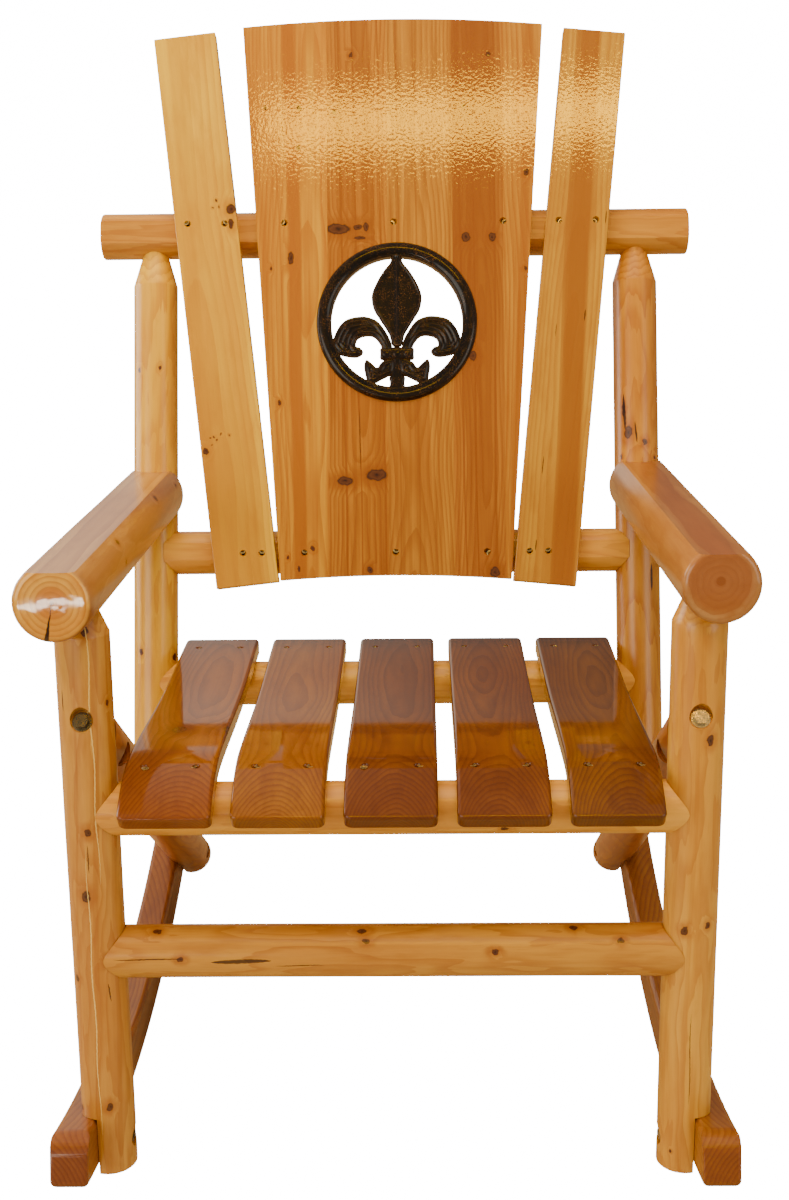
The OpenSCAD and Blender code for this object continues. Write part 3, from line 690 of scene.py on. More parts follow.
class Wood(Enum):
    """The timbers, each with its pale, warm, late and heart colour in linear light."""

    HONEY = (
        (0.62, 0.315, 0.095), (0.52, 0.225, 0.055), (0.36, 0.115, 0.022), (0.42, 0.14, 0.03)
    )
    AMBER = (
        (0.52, 0.235, 0.060), (0.43, 0.165, 0.036), (0.28, 0.080, 0.014), (0.34, 0.10, 0.02)
    )
    ARM = (
        (0.56, 0.26, 0.070), (0.45, 0.17, 0.036), (0.25, 0.065, 0.010), (0.33, 0.08, 0.012)
    )
    ROCKER = (
        (0.36, 0.135, 0.030), (0.28, 0.090, 0.018), (0.17, 0.042, 0.008), (0.22, 0.06, 0.01)
    )
    SLAT_BROWN = (
        (0.36, 0.130, 0.028), (0.29, 0.088, 0.016), (0.15, 0.034, 0.006), (0.24, 0.06, 0.01)
    )
    SLAT_LIGHT = (
        (0.44, 0.175, 0.040), (0.34, 0.110, 0.022), (0.18, 0.044, 0.008), (0.3, 0.08, 0.014)
    )
    SLAT_RED = (
        (0.27, 0.078, 0.014), (0.20, 0.050, 0.008), (0.105, 0.020, 0.004), (0.17, 0.035, 0.006)
    )
    BOARD_PALE = (
        (0.70, 0.36, 0.110), (0.60, 0.26, 0.060), (0.42, 0.135, 0.024), (0.5, 0.17, 0.03)
    )
    BOARD_BROWN = (
        (0.48, 0.185, 0.036), (0.38, 0.125, 0.022), (0.25, 0.065, 0.010), (0.32, 0.09, 0.015)
    )
    SPLAT = (
        (0.66, 0.33, 0.085), (0.54, 0.225, 0.050), (0.36, 0.11, 0.02), (0.44, 0.145, 0.026)
    )

    def tinted(self, tint: Colour) -> list[Colour]:
        """Returns the four colours, each multiplied by a tint."""
        return [tuple(min(c * t, 0.95) for c, t in zip(colour, tint)) for colour in self.value]


@dataclass(frozen=True)
class Knot:
    """A knot: the pixel that shows its middle, and its size in millimetres."""

    x: float
    y: float
    width: float
    length: float


@dataclass(frozen=True)
class Crack:
    """A drying crack along the grain: the pixel of its middle, and its size in millimetres."""

    x: float
    y: float
    length: float
    width: float
    sway: float
    filled: bool = False


class Stripe(Enum):
    """Kinds of stripes along the grain."""

    DARK = "dark"
    LIGHT = "light"
    FADING = "fading"


@dataclass(frozen=True)
class Band:
    """A stripe of other wood: pixels of two points on its middle, and its half width in mm."""

    top_x: float
    top_y: float
    low_x: float
    low_y: float
    half_width: float
    strength: float
    kind: Stripe = Stripe.DARK


@dataclass(frozen=True)
class EndCrack:
    """A radial crack in the end of a log, in the log's frame, opening towards the rim."""

    start: tuple[float, float]
    end: tuple[float, float]
    opening: float


# Marks by the name of their finish, read off the photograph, with a row for each mark.
BANDS: dict[str, tuple[tuple, ...]] = {
    "front_post_left_pine": (
        (94, 700, 99, 1150, 3, 0.45), (112, 800, 122, 1150, 2.2, 0.35),
        (74, 700, 82, 1150, 1.4, 0.35),
    ),
    "front_post_right_pine": (
        (700, 700, 680, 1150, 2.2, 0.28), (682, 700, 662, 1150, 1.4, 0.26),
    ),
    "board_1_pine": (
        (289, 60, 300, 520, 8.5, 0.92), (272, 60, 289, 520, 1, 0.5), (248, 60, 284, 520, 4, 0.38),
        (312, 60, 323, 520, 6.5, 0.94, Stripe.LIGHT),
    ),
    "board_2_pine": (
        (324, 60, 336, 520, 4, 0.5, Stripe.LIGHT), (360, 60, 383, 520, 7, 0.44),
        (338, 60, 347, 520, 1.4, 0.75), (352, 60, 362, 520, 1, 0.7), (377, 60, 386, 520, 1.2, 0.7),
    ),
    "board_3_pine": (
        (437, 60, 449, 520, 9, 0.8, Stripe.LIGHT), (396, 60, 401, 520, 1, 0.6),
        (413, 60, 420, 520, 1.2, 0.55), (424, 60, 436, 520, 4, 0.69, Stripe.LIGHT),
    ),
    "board_4_pine": (
        (482, 520, 474, 180, 34, 0.8, Stripe.FADING), (475, 60, 483, 520, 16, 0.3),
        (457, 60, 466, 520, 1.2, 0.7), (471, 60, 478, 520, 1, 0.8), (493, 60, 497, 520, 1.4, 0.7),
    ),
    "board_5_pine": ((509, 60, 508, 520, 5, 0.97, Stripe.LIGHT), (528, 60, 516, 520, 6, 0.62)),
    "splat_left_pine": (
        (200, 380, 214, 560, 9, 0.25), (196, 240, 230, 560, 45, 0.62, Stripe.FADING),
    ),
    "splat_right_pine": ((589, 60, 566, 520, 14, 0.9), (577, 60, 555, 520, 3, 0.56)),
}

KNOTS: dict[str, tuple[tuple, ...]] = {
    "front_post_left_pine": (
        (84, 632, 7.2, 9.6), (108, 703, 3.2, 4.8), (88, 833, 6.4, 8), (86, 897, 8.8, 11.2),
        (107, 961, 4.8, 7.2), (77, 978, 5.6, 6.4), (82, 1107, 5.6, 6.4), (110, 1107, 6.4, 8),
    ),
    "front_post_right_pine": (
        (711, 741, 6.4, 10.4), (684, 931, 6.4, 8), (708, 926, 4.8, 6.4), (670, 1152, 2.4, 3.2),
    ),
    "back_post_left_pine": (
        (141, 652, 5.6, 8), (175, 657, 6.4, 8), (139, 370, 4, 6.4), (160, 368, 3.2, 5.6),
    ),
    "back_post_right_pine": (
        (628, 432, 9, 15), (645, 442, 6, 7.5), (623, 409, 4.5, 16), (621, 457, 3.4, 4),
        (655, 457, 3.4, 4),
    ),
    "armrest_left_pine": (
        (156, 498, 6.4, 9.6), (118, 542, 4.8, 8), (176, 485, 4, 6.4), (127, 562, 4, 5.6),
    ),
    "front_stretcher_pine": (
        (157, 931, 6.4, 8), (180, 960, 4.8, 6.4), (362, 931, 5.6, 9.6), (366, 941, 4.8, 7.2),
        (495, 952, 4.8, 7.2), (573, 927, 6.4, 8), (621, 940, 4.8, 6.4),
    ),
    "seat_front_rail_pine": ((505, 829, 4.8, 8),),
    "board_1_pine": (
        (265, 108, 4, 5), (299, 108, 5, 6), (298, 148, 5, 6), (291, 258, 7, 16), (271, 268, 3, 5),
        (279, 403, 4, 6), (313, 548, 4, 6), (288, 557, 3, 4), (299, 569, 3, 8),
    ),
    "board_2_pine": (
        (338, 229, 28, 12), (358, 227, 11, 6), (366, 227, 6, 10), (360, 238, 14, 4),
        (334, 112, 4, 5), (351, 55, 5, 6), (345, 481, 18, 10), (377, 475, 24, 13), (370, 570, 6, 7),
    ),
    "board_3_pine": ((376, 158, 3, 4),),
    "board_4_pine": (
        (466, 237, 10, 11), (492, 237, 8, 10), (488, 54, 5, 6), (463, 106, 3, 5), (473, 356, 9, 11),
        (495, 572, 11, 12),
    ),
    "board_5_pine": ((526, 172, 6, 7), (526, 268, 4, 5)),
    "splat_left_pine": (
        (231, 209, 11, 12), (231, 224, 6, 12), (216, 200, 2.2, 3), (219, 207, 2, 3),
        (213, 208, 2, 2), (206, 451, 6, 8), (212, 445, 1.8, 2), (217, 440, 1.8, 2),
        (221, 434, 1.8, 2), (214, 437, 1.8, 2), (229, 435, 1.8, 2), (211, 438, 1.8, 2),
    ),
    "slat_1_pine": ((179, 728, 14, 20), (232, 727, 16, 24)),
}

CRACKS: dict[str, tuple[tuple, ...]] = {
    "front_post_left_pine": (
        (92, 740, 300, 1.3, 1, True), (94, 1000, 320, 1.2, 0.8, True), (88, 860, 30, 1.2, 0),
        (62, 701, 22, 1.6, 0), (110, 993, 20, 1.4, 1.8),
    ),
    "front_post_right_pine": ((690, 1060, 100, 0.9, 0.6),),
    "back_post_right_pine": (
        (624, 412, 44, 4.2, 1), (636, 432, 26, 2.2, 1.6), (652, 577, 34, 3.4, 0),
    ),
    "front_stretcher_pine": (
        (241, 962, 60, 4.6, 0.6), (148, 960, 70, 1.2, 0.4), (300, 966, 50, 1, 0.6),
    ),
    "board_2_pine": ((360, 440, 75, 0.8, 0.3),),
    "splat_right_pine": (
        (585, 315, 14, 1.4, 0), (606, 217, 16, 1.2, 0), (543, 465, 22, 1.1, 0),
        (536, 545, 14, 1.2, 0), (556, 330, 16, 0.8, 0),
    ),
}

@dataclass(frozen=True)
class Spot:
    """A place on a piece's surface: the point, and its directions across and outwards."""

    centre: Vector
    across: Vector
    out: Vector


class Surface(Enum):
    """Shapes on which marks are placed."""

    ROUND = "round"
    FLAT = "flat"


KNOT_STOPS = (
    (0.00, (0.016, 0.005, 0.002)),
    (0.07, (0.085, 0.022, 0.004)),
    (0.17, (0.125, 0.036, 0.007)),
    (0.24, (0.026, 0.008, 0.003)),
    (0.29, (0.090, 0.024, 0.005)),
)
# Distances from a knot, in its own radii: start and end of its bulge, halo and heart.
KNOT_BULGE = (4.5, 0.8)
KNOT_HALO = (3.4, 0.9)
KNOT_HEART = (1.22, 0.84)
KNOT_RAGGED = 0.0056
KNOT_SPAN = 4.0
KNOT_GRAIN = 170.0
# Shares of the spacing by which knots bend the rings of boards and of logs.
BOARD_BULGE, LOG_BULGE = 1.1, 0.6
# Values between which a face counts as end grain, and the wood changes from pale to warm.
END_GRAIN, WARM_STEP = (0.55, 0.85), (0.36, 0.72)
# Where the heartwood and the dark core end, as shares of their radii.
HEART_EDGE, CORE_EDGE = (1.12, 0.8), (1.0, 0.7)
# Strengths of the layers of colour, and heights in the bump.
RING_TONE, HEART, END_HEART, CORE, HALO, CRACK = 0.12, 0.8, 0.30, 0.75, 0.72, 0.9
HAIR_BASE = 0.35
FIBRE_HEIGHT, RING_HEIGHT, CRACK_DEPTH = 0.25, 0.35, 2.0
# Stripes: scale and width of their waves, and the edges of their mask.
BAND_ALONG, BAND_WAVE, BAND_EDGE = 4.0, 0.010, (1.15, 0.65)
# Cracks in an end: waves, least half width, and the edges of their mask.
END_WAVES, END_WAVE, END_LEAST = 5.0, 0.0022, 0.0003
END_SIDE, END_START, END_DEPTH = (1.3, 0.7), (-0.02, 0.03), (0.05, 0.02)
# Open cracks and end cracks: dark colour that paints the shade inside their gaps.
OPEN_CRACK_SHADE = (0.022, 0.007, 0.003)
# Filled cracks: pale varnish filler, lightened further by a painted highlight along the crack.
FILLED_CRACK_SHEEN = (0.95, 0.62, 0.16)
END_CRACK_SHADE = (0.030, 0.010, 0.004)


@dataclass(frozen=True)
class Pine:
    """Varnished pine: growth rings about a pith, fibres, knots and drying cracks."""

    name: str
    wood: Wood
    place: Matrix
    surface: Surface = Surface.ROUND
    radius: float = 0.027
    pith: tuple[float, float] = (0.0, 0.0)
    drift: float = 0.016
    spacing: float = 0.0032
    wander: float = 0.021
    ring_depth: float = 0.46
    end_depth: float = 0.75
    heart: float = 0.0
    seed: float = 1.0
    peel: float = 0.0
    haze: float = 0.25
    tint: Colour = (1.0, 1.0, 1.0)
    end_tint: Colour = (1.0, 1.0, 1.0)
    streaks: float = 0.26
    hair: float = 0.22
    dashes: float = 0.22
    mottle: float = 0.30
    end_haze: float | None = None
    core: float = 0.0
    end_crack: EndCrack | None = None

    def spot(self, x: float, y: float) -> Spot:
        """Finds where a line of sight meets the piece, in the piece's own frame.

        Args:
            x: Pixel of the photograph, to the right.
            y: Pixel of the photograph, downwards.

        Returns:
            The spot, or the nearest one on a log's rim where the line passes it.
        """
        start, way = CAMERA.ray((x, y))
        inverse = self.place.inverted()
        start = inverse @ start
        way = inverse.to_3x3() @ way
        if self.surface is Surface.FLAT:
            return Spot(start - way * (start.y / way.y), Vector((1, 0, 0)), Vector((0, -1, 0)))
        a = way.x ** 2 + way.y ** 2
        b = start.x * way.x + start.y * way.y
        c = start.x ** 2 + start.y ** 2 - self.radius ** 2
        hit = start + way * ((-b - math.sqrt(max(b * b - a * c, 0.0))) / a)
        out = Vector((hit.x, hit.y, 0)).normalized()
        rim = Vector((out.x * self.radius, out.y * self.radius, hit.z))
        return Spot(rim, Vector((-out.y, out.x, 0)), out)

    def build(self) -> bpy.types.Material:
        """Returns the material, with its grain in the frame of the piece."""
        material = new_material(self.name)
        g = Graph(material.node_tree)
        to_piece = self.place.inverted()
        at = g.out(g.node("ShaderNodeMapping", {
            "Vector": g.object_point(),
            "Location": to_piece.translation,
            "Rotation": to_piece.to_euler("XYZ"),
        }))
        normal = g.out(g.node("ShaderNodeTexCoord"), "Normal")
        axis = self.place.to_3x3() @ Vector((0, 0, 1))
        facing = g.math("ABSOLUTE", g.vector("DOT_PRODUCT", normal, axis, output="Value"))
        end = g.step(facing, *END_GRAIN)
        colour, height = self._grain(g, at, end)
        haze: Term = self.haze
        if self.end_haze is not None:
            haze = end * (self.end_haze - self.haze) + self.haze
        film = g.out(g.group("varnish", Vector=at, Peel=self.peel))
        g.show({
            "Base Color": colour,
            "Roughness": 0.42,
            "Specular IOR Level": 0.1,
            "Coat Weight": 1.0,
            "Coat Roughness": haze,
            "Coat IOR": 1.5,
            "Normal": g.bump(height, 0.35, 0.0006),
            "Coat Normal": g.bump(film, 0.25, 0.0010),
        })
        return material

    def _knots(self, g: Graph, at: Wire) -> Wire | None:
        """Builds the distance to the nearest knot.

        Args:
            g: Graph of the material.
            at: Point in the piece's frame.

        Returns:
            The distance, 1 at a knot's rim, or nothing without knots.
        """
        nearest: Term = NO_KNOT
        marks = [Knot(*row) for row in KNOTS.get(self.name, ())]
        if not marks:
            return None
        rough = g.node("ShaderNodeTexNoise", {"Vector": at, "Scale": KNOT_GRAIN, "Detail": 3.0})
        offset = g.vector("SUBTRACT", g.out(rough, "Color"), (0.5, 0.5, 0.5))
        bent = g.vector("ADD", at, g.vector("SCALE", offset, KNOT_RAGGED))
        for mark in marks:
            spot = self.spot(mark.x, mark.y)
            nearest = g.out(g.group(
                "knot", Vector=bent, Centre=spot.centre, Across=spot.across, Out=spot.out,
                Width=mark.width * MM, Length=mark.length * MM, Nearest=nearest,
            ))
        return nearest

    def _grain(self, g: Graph, at: Wire, end: Wire) -> tuple[Wire, Wire]:
        """Builds the colour and the height of the wood.

        Args:
            g: Graph of the material.
            at: Point in the piece's frame.
            end: Mask of the end grain.

        Returns:
            The colour and the bump height.
        """
        pale, warm, late, heart = self.wood.tinted(self.tint)
        nearest = self._knots(g, at)
        bulge: Term = 0.0
        if nearest is not None:
            share = BOARD_BULGE if self.surface is Surface.FLAT else LOG_BULGE
            bulge = g.step(nearest, *KNOT_BULGE) * (self.spacing * share)
        rings = g.group(
            "growth_rings", Vector=at, Pith=(*self.pith, 0.0), Drift=self.drift,
            Spacing=self.spacing, Wander=self.wander, Seed=self.seed, Bulge=bulge,
        )
        fibre = g.group("fibre", Vector=at, Seed=self.seed)
        radius = g.out(rings, "Radius")
        blotch = g.out(fibre, "Blotch") + g.out(rings, "Tone") * RING_TONE
        base = g.blend(g.step(blotch, *WARM_STEP), pale, warm)
        if self.heart > 0:
            core = g.step(radius, *(self.heart * edge for edge in HEART_EDGE))
            base = g.blend(core * HEART, base, heart)
        for band in (Band(*row) for row in BANDS.get(self.name, ())):
            light = band.kind is Stripe.LIGHT
            base = g.blend(self._band(g, at, band), base, pale if light else late)
        depth = end * (self.end_depth - self.ring_depth) + self.ring_depth
        base = g.blend(g.out(rings, "Ring") * depth, base, late)
        base = g.blend(g.out(fibre, "Streak") * self.streaks, base, late)
        hair = (g.out(fibre, "Fibre") - HAIR_BASE) * self.hair
        base = g.blend(hair, base, late, "MULTIPLY")
        base = g.blend(g.out(fibre, "Dash") * self.dashes, base, late)
        base = g.blend(g.out(fibre, "Mottle") * self.mottle, base, late)
        base = g.blend(end * END_HEART, base, heart)
        base = g.blend(end, base, g.vector("MULTIPLY", base, self.end_tint))
        if self.core > 0:
            dot = g.step(radius, *(self.core * edge for edge in CORE_EDGE))
            base = g.blend(dot * end * CORE, base, late)
        if nearest is not None:
            base = g.blend(g.step(nearest, *KNOT_HALO) * HALO, base, late)
            middle = g.ramp(nearest / KNOT_SPAN, KNOT_STOPS)
            base = g.blend(g.step(nearest, *KNOT_HEART), base, middle)
        height = g.out(fibre, "Fibre") * FIBRE_HEIGHT + g.out(rings, "Ring") * RING_HEIGHT
        # Painted: shade in the open cracks, and a highlight along the pale filled ones.
        for filled, colour in ((False, OPEN_CRACK_SHADE), (True, FILLED_CRACK_SHEEN)):
            mask = self._cracks(g, at, filled)
            if mask is not None:
                base = g.blend(mask * CRACK, base, colour)
                height = height - mask * CRACK_DEPTH
        # Painted shade in the end crack's opening.
        if self.end_crack is not None:
            mask = self._end_crack(g, at, self.end_crack)
            base = g.blend(mask, base, END_CRACK_SHADE)
            height = height - mask * CRACK_DEPTH
        return base, height

    def _band(self, g: Graph, at: Wire, band: Band) -> Wire:
        """Builds the mask of a stripe.

        Args:
            g: Graph of the material.
            at: Point in the piece's frame.
            band: The stripe.

        Returns:
            The mask, with the stripe's strength.
        """
        top = self.spot(band.top_x, band.top_y).centre
        low = self.spot(band.low_x, band.low_y).centre
        slant = (top.x - low.x) / (top.z - low.z)
        x, _, z = g.split(at)
        along = g.combine(self.seed, 0.0, z * BAND_ALONG)
        wave = (g.noise(along, 1.0, 1.0) - 0.5) * BAND_WAVE
        off = g.math("ABSOLUTE", x - low.x - (z - low.z) * slant + wave)
        off = off / (band.half_width * MM)
        mask = g.step(off, *BAND_EDGE) * band.strength
        return mask * g.step(z, top.z, low.z) if band.kind is Stripe.FADING else mask

    def _end_crack(self, g: Graph, at: Wire, crack: EndCrack) -> Wire:
        """Builds the mask of a crack from near the pith to the rim of an end.

        Args:
            g: Graph of the material.
            at: Point in the piece's frame.
            crack: The crack.

        Returns:
            The mask.
        """
        x0, y0 = crack.start
        run = Vector((crack.end[0] - x0, crack.end[1] - y0))
        way = run.normalized()
        x, y, z = g.split(at)
        along = ((x - x0) * way.x + (y - y0) * way.y) / run.length
        wiggle = (g.noise(g.combine(along * END_WAVES, 0.0, 0.0), 1.0, 2.0) - 0.5) * END_WAVE
        across = g.math("ABSOLUTE", (y - y0) * way.x - (x - x0) * way.y + wiggle)
        open_half = along * along * (crack.opening / 2) + END_LEAST
        mask = g.step(across / open_half, *END_SIDE) * g.step(along, *END_START)
        return mask * g.step(z, *END_DEPTH)

    def _cracks(self, g: Graph, at: Wire, filled: bool) -> Wire | None:
        """Builds the mask of the open or of the filled cracks.

        Args:
            g: Graph of the material.
            at: Point in the piece's frame.
            filled: Which of them.

        Returns:
            The mask, or nothing where there are none.
        """
        mask: Wire | None = None
        for mark in (Crack(*row) for row in CRACKS.get(self.name, ())):
            if mark.filled is filled:
                spot = self.spot(mark.x, mark.y)
                mask = g.out(g.group(
                    "split", Vector=at, Centre=spot.centre, Across=spot.across, Out=spot.out,
                    Width=mark.width * MM, Length=mark.length * MM, Sway=mark.sway * MM,
                    Mask=mask or 0.0,
                ))
        return mask


@dataclass(frozen=True)
class CastIron:
    """Cast iron under a dark, glossy antique enamel with bronze wear, its raised edges lightened
    partly by wear and partly as a painted highlight.
    """

    dark: Colour = (0.0030, 0.0016, 0.0009)
    brown: Colour = (0.006, 0.003, 0.0018)
    edge: Colour = (0.110, 0.048, 0.014)
    bronze: Colour = (0.22, 0.085, 0.018)

    def build(self) -> bpy.types.Material:
        """Returns the material."""
        material = new_material("antique_iron")
        g = Graph(material.node_tree)
        at = g.object_point()
        wear = g.group("cast_wear", Vector=at)
        base = g.blend(g.noise(at, 60.0, 3.0), self.dark, self.brown)
        # Raised ridges are lightened: rubbed bronze, and a painted highlight in place of the gloss
        # they would catch.
        base = g.blend(g.out(wear, "Raised") * 0.55, base, self.edge)
        base = g.blend(g.out(wear, "Speckle") * 0.80, base, self.bronze)
        g.show({
            "Base Color": base,
            "Metallic": 0.15,
            "Roughness": 0.30,
            "Specular IOR Level": 0.15,
            "Coat Weight": 0.42,
            "Coat Roughness": 0.05,
            "Normal": g.bump(g.out(wear, "Grit"), 0.45, 0.0006),
        })
        return material


@dataclass(frozen=True)
class Plated:
    """Plated steel, dulled in patches, with a painted darker reflection on the chair's left where
    it says so.
    """

    name: str
    bright: Colour
    dull: Colour
    roughness: float = 0.34
    scratches: Point = (2600, 300, 2600)
    left_dark_reflection: Colour | None = None

    def build(self) -> bpy.types.Material:
        """Returns the material."""
        material = new_material(self.name)
        g = Graph(material.node_tree)
        at = g.object_point()
        patch = g.step(g.noise(at, 260.0, 2.0), 0.35, 0.7)
        base = g.blend(patch, self.bright, self.dull)
        # Painted reflection: on the chair's left the metal is darkened to stand for the dark
        # surroundings it mirrors there.
        if self.left_dark_reflection is not None:
            left = g.step(g.split(at)[0], 0.01, -0.01)
            base = g.blend(left * 0.85, base, self.left_dark_reflection)
        scratch = g.grain(at, self.scratches, 2.0)
        g.show({
            "Base Color": base,
            "Metallic": 0.9,
            "Roughness": patch * 0.2 + self.roughness,
            "Normal": g.bump(scratch, 0.06, 0.0002),
        })
        return material


def new_object(name: str, mesh: bpy.types.Mesh) -> bpy.types.Object:
    """Returns a new object at the origin that shows a mesh."""
    thing = bpy.data.objects.new(name, mesh)
    bpy.context.collection.objects.link(thing)
    return thing


def mesh_of(thing: bpy.types.Object) -> bpy.types.Mesh:
    """Returns the evaluated mesh of an object as a plain one."""
    depsgraph = bpy.context.evaluated_depsgraph_get()
    return bpy.data.meshes.new_from_object(thing.evaluated_get(depsgraph))


def opened(mesh: bpy.types.Mesh) -> bmesh.types.BMesh:
    """Returns a mesh as a bmesh, with its doubled vertices merged."""
    bm = bmesh.new()
    bm.from_mesh(mesh)
    bmesh.ops.remove_doubles(bm, verts=bm.verts, dist=MERGE)
    return bm


def closed(bm: bmesh.types.BMesh, name: str) -> bpy.types.Mesh:
    """Returns a new mesh made of a bmesh, which is freed."""
    mesh = bpy.data.meshes.new(name)
    bm.to_mesh(mesh)
    bm.free()
    return mesh


def merged_copy(node: str) -> bpy.types.Mesh:
    """Returns a closed copy of a construction node's mesh."""
    mesh = closed(opened(frame["nodes"][node].data), node + "_copy")
    normals = mesh.attributes.get("custom_normal")
    if normals is not None:
        mesh.attributes.remove(normals)
    return mesh


def circle(sides: int, radius: float, z: float) -> list[Point]:
    """Returns points on a level circle about z."""
    turns = (2 * math.pi * k / sides for k in range(sides))
    return [(math.cos(a) * radius, math.sin(a) * radius, z) for a in turns]


def bridge(bm: bmesh.types.BMesh, one: Sequence, two: Sequence) -> None:
    """Adds the faces between two closed rows of vertices."""
    for k in range(len(one)):
        n = (k + 1) % len(one)
        bm.faces.new((one[k], one[n], two[n], two[k]))


def eased_copy(
    node: str, offset: float, segments: int, flat: float, sharp: float,
    stays: Callable[[Vector], bool],
) -> bpy.types.Mesh:
    """Makes a copy of a construction node's mesh with rounded edges.

    Args:
        node: The construction node.
        offset: Width of the rounding.
        segments: Steps of the rounding.
        flat: Angle in degrees below which faces are joined first.
        sharp: Angle in degrees above which an edge is rounded.
        stays: Says of a point whether an edge there stays sharp.

    Returns:
        The mesh, in triangles.
    """
    mesh = merged_copy(node)
    bm = bmesh.new()
    bm.from_mesh(mesh)
    bmesh.ops.dissolve_limit(bm, angle_limit=math.radians(flat), verts=bm.verts, edges=bm.edges)
    edges = [
        edge for edge in bm.edges
        if len(edge.link_faces) == 2 and edge.calc_face_angle(0.0) > math.radians(sharp)
        and not any(stays(v.co) for v in edge.verts)
    ]
    bmesh.ops.bevel(
        bm, geom=edges, offset=offset, segments=segments, profile=0.5, affect="EDGES",
        clamp_overlap=True,
    )
    bmesh.ops.triangulate(bm, faces=bm.faces)
    bm.to_mesh(mesh)
    bm.free()
    return mesh


def finish_piece(
    thing: bpy.types.Object, nodes: Iterable[str], material: bpy.types.Material
) -> None:
    """Dresses a finished piece and puts it in place of its construction nodes.

    Args:
        thing: The piece, with its place in its mesh.
        nodes: Construction nodes that the piece stands for.
        material: Finish of the whole piece.
    """
    thing.data.materials.clear()
    thing.data.materials.append(material)
    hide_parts(*nodes)
    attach(thing, BODY)
    LOG.info("%s: %d faces", thing.name, len(thing.data.polygons))


def cut_to_node(mesh: bpy.types.Mesh, node: str, smooth_angle: float = 38.0) -> bpy.types.Mesh:
    """Cuts a detailed mesh to a construction node, with its bores and joints.

    Args:
        mesh: The detailed mesh.
        node: The node.
        smooth_angle: Angle in degrees above which an edge is sharp.

    Returns:
        What the two share.
    """
    piece = new_object(node + "_work", mesh)
    solid = new_object(node + "_solid", merged_copy(node))
    cut = piece.modifiers.new("fit", "BOOLEAN")
    cut.operation = "INTERSECT"
    cut.solver = "EXACT"
    cut.object = solid
    result = mesh_of(piece)
    for thing in (piece, solid):
        bpy.data.objects.remove(thing)
    return smooth(result, smooth_angle)


def smooth(mesh: bpy.types.Mesh, angle: float) -> bpy.types.Mesh:
    """Shades a mesh smooth, with its flats kept flat.

    Args:
        mesh: The mesh.
        angle: Angle in degrees above which an edge is sharp.

    Returns:
        The shaded mesh.
    """
    for polygon in mesh.polygons:
        polygon.use_smooth = True
    mesh.set_sharp_from_angle(angle=math.radians(angle))
    carrier = new_object("normals", mesh)
    weighted = carrier.modifiers.new("weighted", "WEIGHTED_NORMAL")
    weighted.keep_sharp = True
    result = mesh_of(carrier)
    bpy.data.objects.remove(carrier)
    return result


# Distances from a log's end of its closest rings.
LOG_ENDS = (0.0, 0.0004, 0.0012, 0.0025, 0.0045)
# Unevenness of a log: scales of its noises about and along it, and their shares.
SLOW_SCALE, FACET_SCALE, SEED_STEP = (0.8, 7.0), (3.2, 11.0), 7.3
MEAN_SHARE, WAVE_SHARE = 0.5, 0.35
FILLET_STEPS = 5


@dataclass(frozen=True)
class Log:
    """A peeled round log, uneven from the drawknife."""

    node: str
    slot: str
    finish: Pine
    start: float
    end: float
    round_start: float = 0.0
    round_end: float = 0.0
    ring_step: float = 0.008
    sides: int = 72
    inset: float = 0.00028
    waves: float = 0.00055
    end_margin: float = 0.006

    def stations(self) -> list[float]:
        """Returns the places of the rings along the log, closer together near a round end."""
        places = [self.start + e for e in LOG_ENDS] + [self.end - e for e in LOG_ENDS]
        first = self.start + self.end_margin
        steps = int((self.end - self.end_margin - first) / self.ring_step)
        inner = [first + i * self.ring_step for i in range(1, steps + 1)]
        return sorted(set(places + inner))

    def build(self) -> bpy.types.Object:
        """Returns the log as a finished piece, cut to its construction node."""
        bm = bmesh.new()
        place = self.finish.place
        rings = []
        for z in self.stations():
            ring = []
            for k in range(self.sides):
                a = 2 * math.pi * k / self.sides
                r = self._radius(a, z)
                ring.append(bm.verts.new(place @ Vector((math.cos(a) * r, math.sin(a) * r, z))))
            rings.append(ring)
        for low, high in zip(rings, rings[1:]):
            bridge(bm, low, high)
        bm.faces.new(list(reversed(rings[0])))
        bm.faces.new(rings[-1])
        mesh = closed(bm, self.node)
        piece = new_object(self.node + "_log", cut_to_node(mesh, self.node))
        finish_piece(piece, (self.node,), self.finish.build())
        return piece

    def _radius(self, angle: float, z: float) -> float:
        """Works out the uneven log's radius.

        Args:
            angle: Angle about the axis in radians.
            z: Place along the axis.

        Returns:
            The radius.
        """
        seed = self.finish.seed * SEED_STEP
        x, y = math.cos(angle), math.sin(angle)
        about, along = SLOW_SCALE
        slow = noise.noise(Vector((x * about + seed, y * about, z * along)))
        about, along = FACET_SCALE
        facet = noise.noise(Vector((x * about, y * about + seed, z * along)))
        dip = self.waves * (MEAN_SHARE + WAVE_SHARE * slow + WAVE_SHARE * abs(facet))
        ends = 0.0
        if self.round_start > 0:
            ends += rounding(z - self.start, self.round_start)
        if self.round_end > 0:
            ends += rounding(self.end - z, self.round_end)
        return self.finish.radius - self.inset - dip - ends


GEOMETRY, MATERIAL = SocketKind.GEOMETRY, SocketKind.MATERIAL


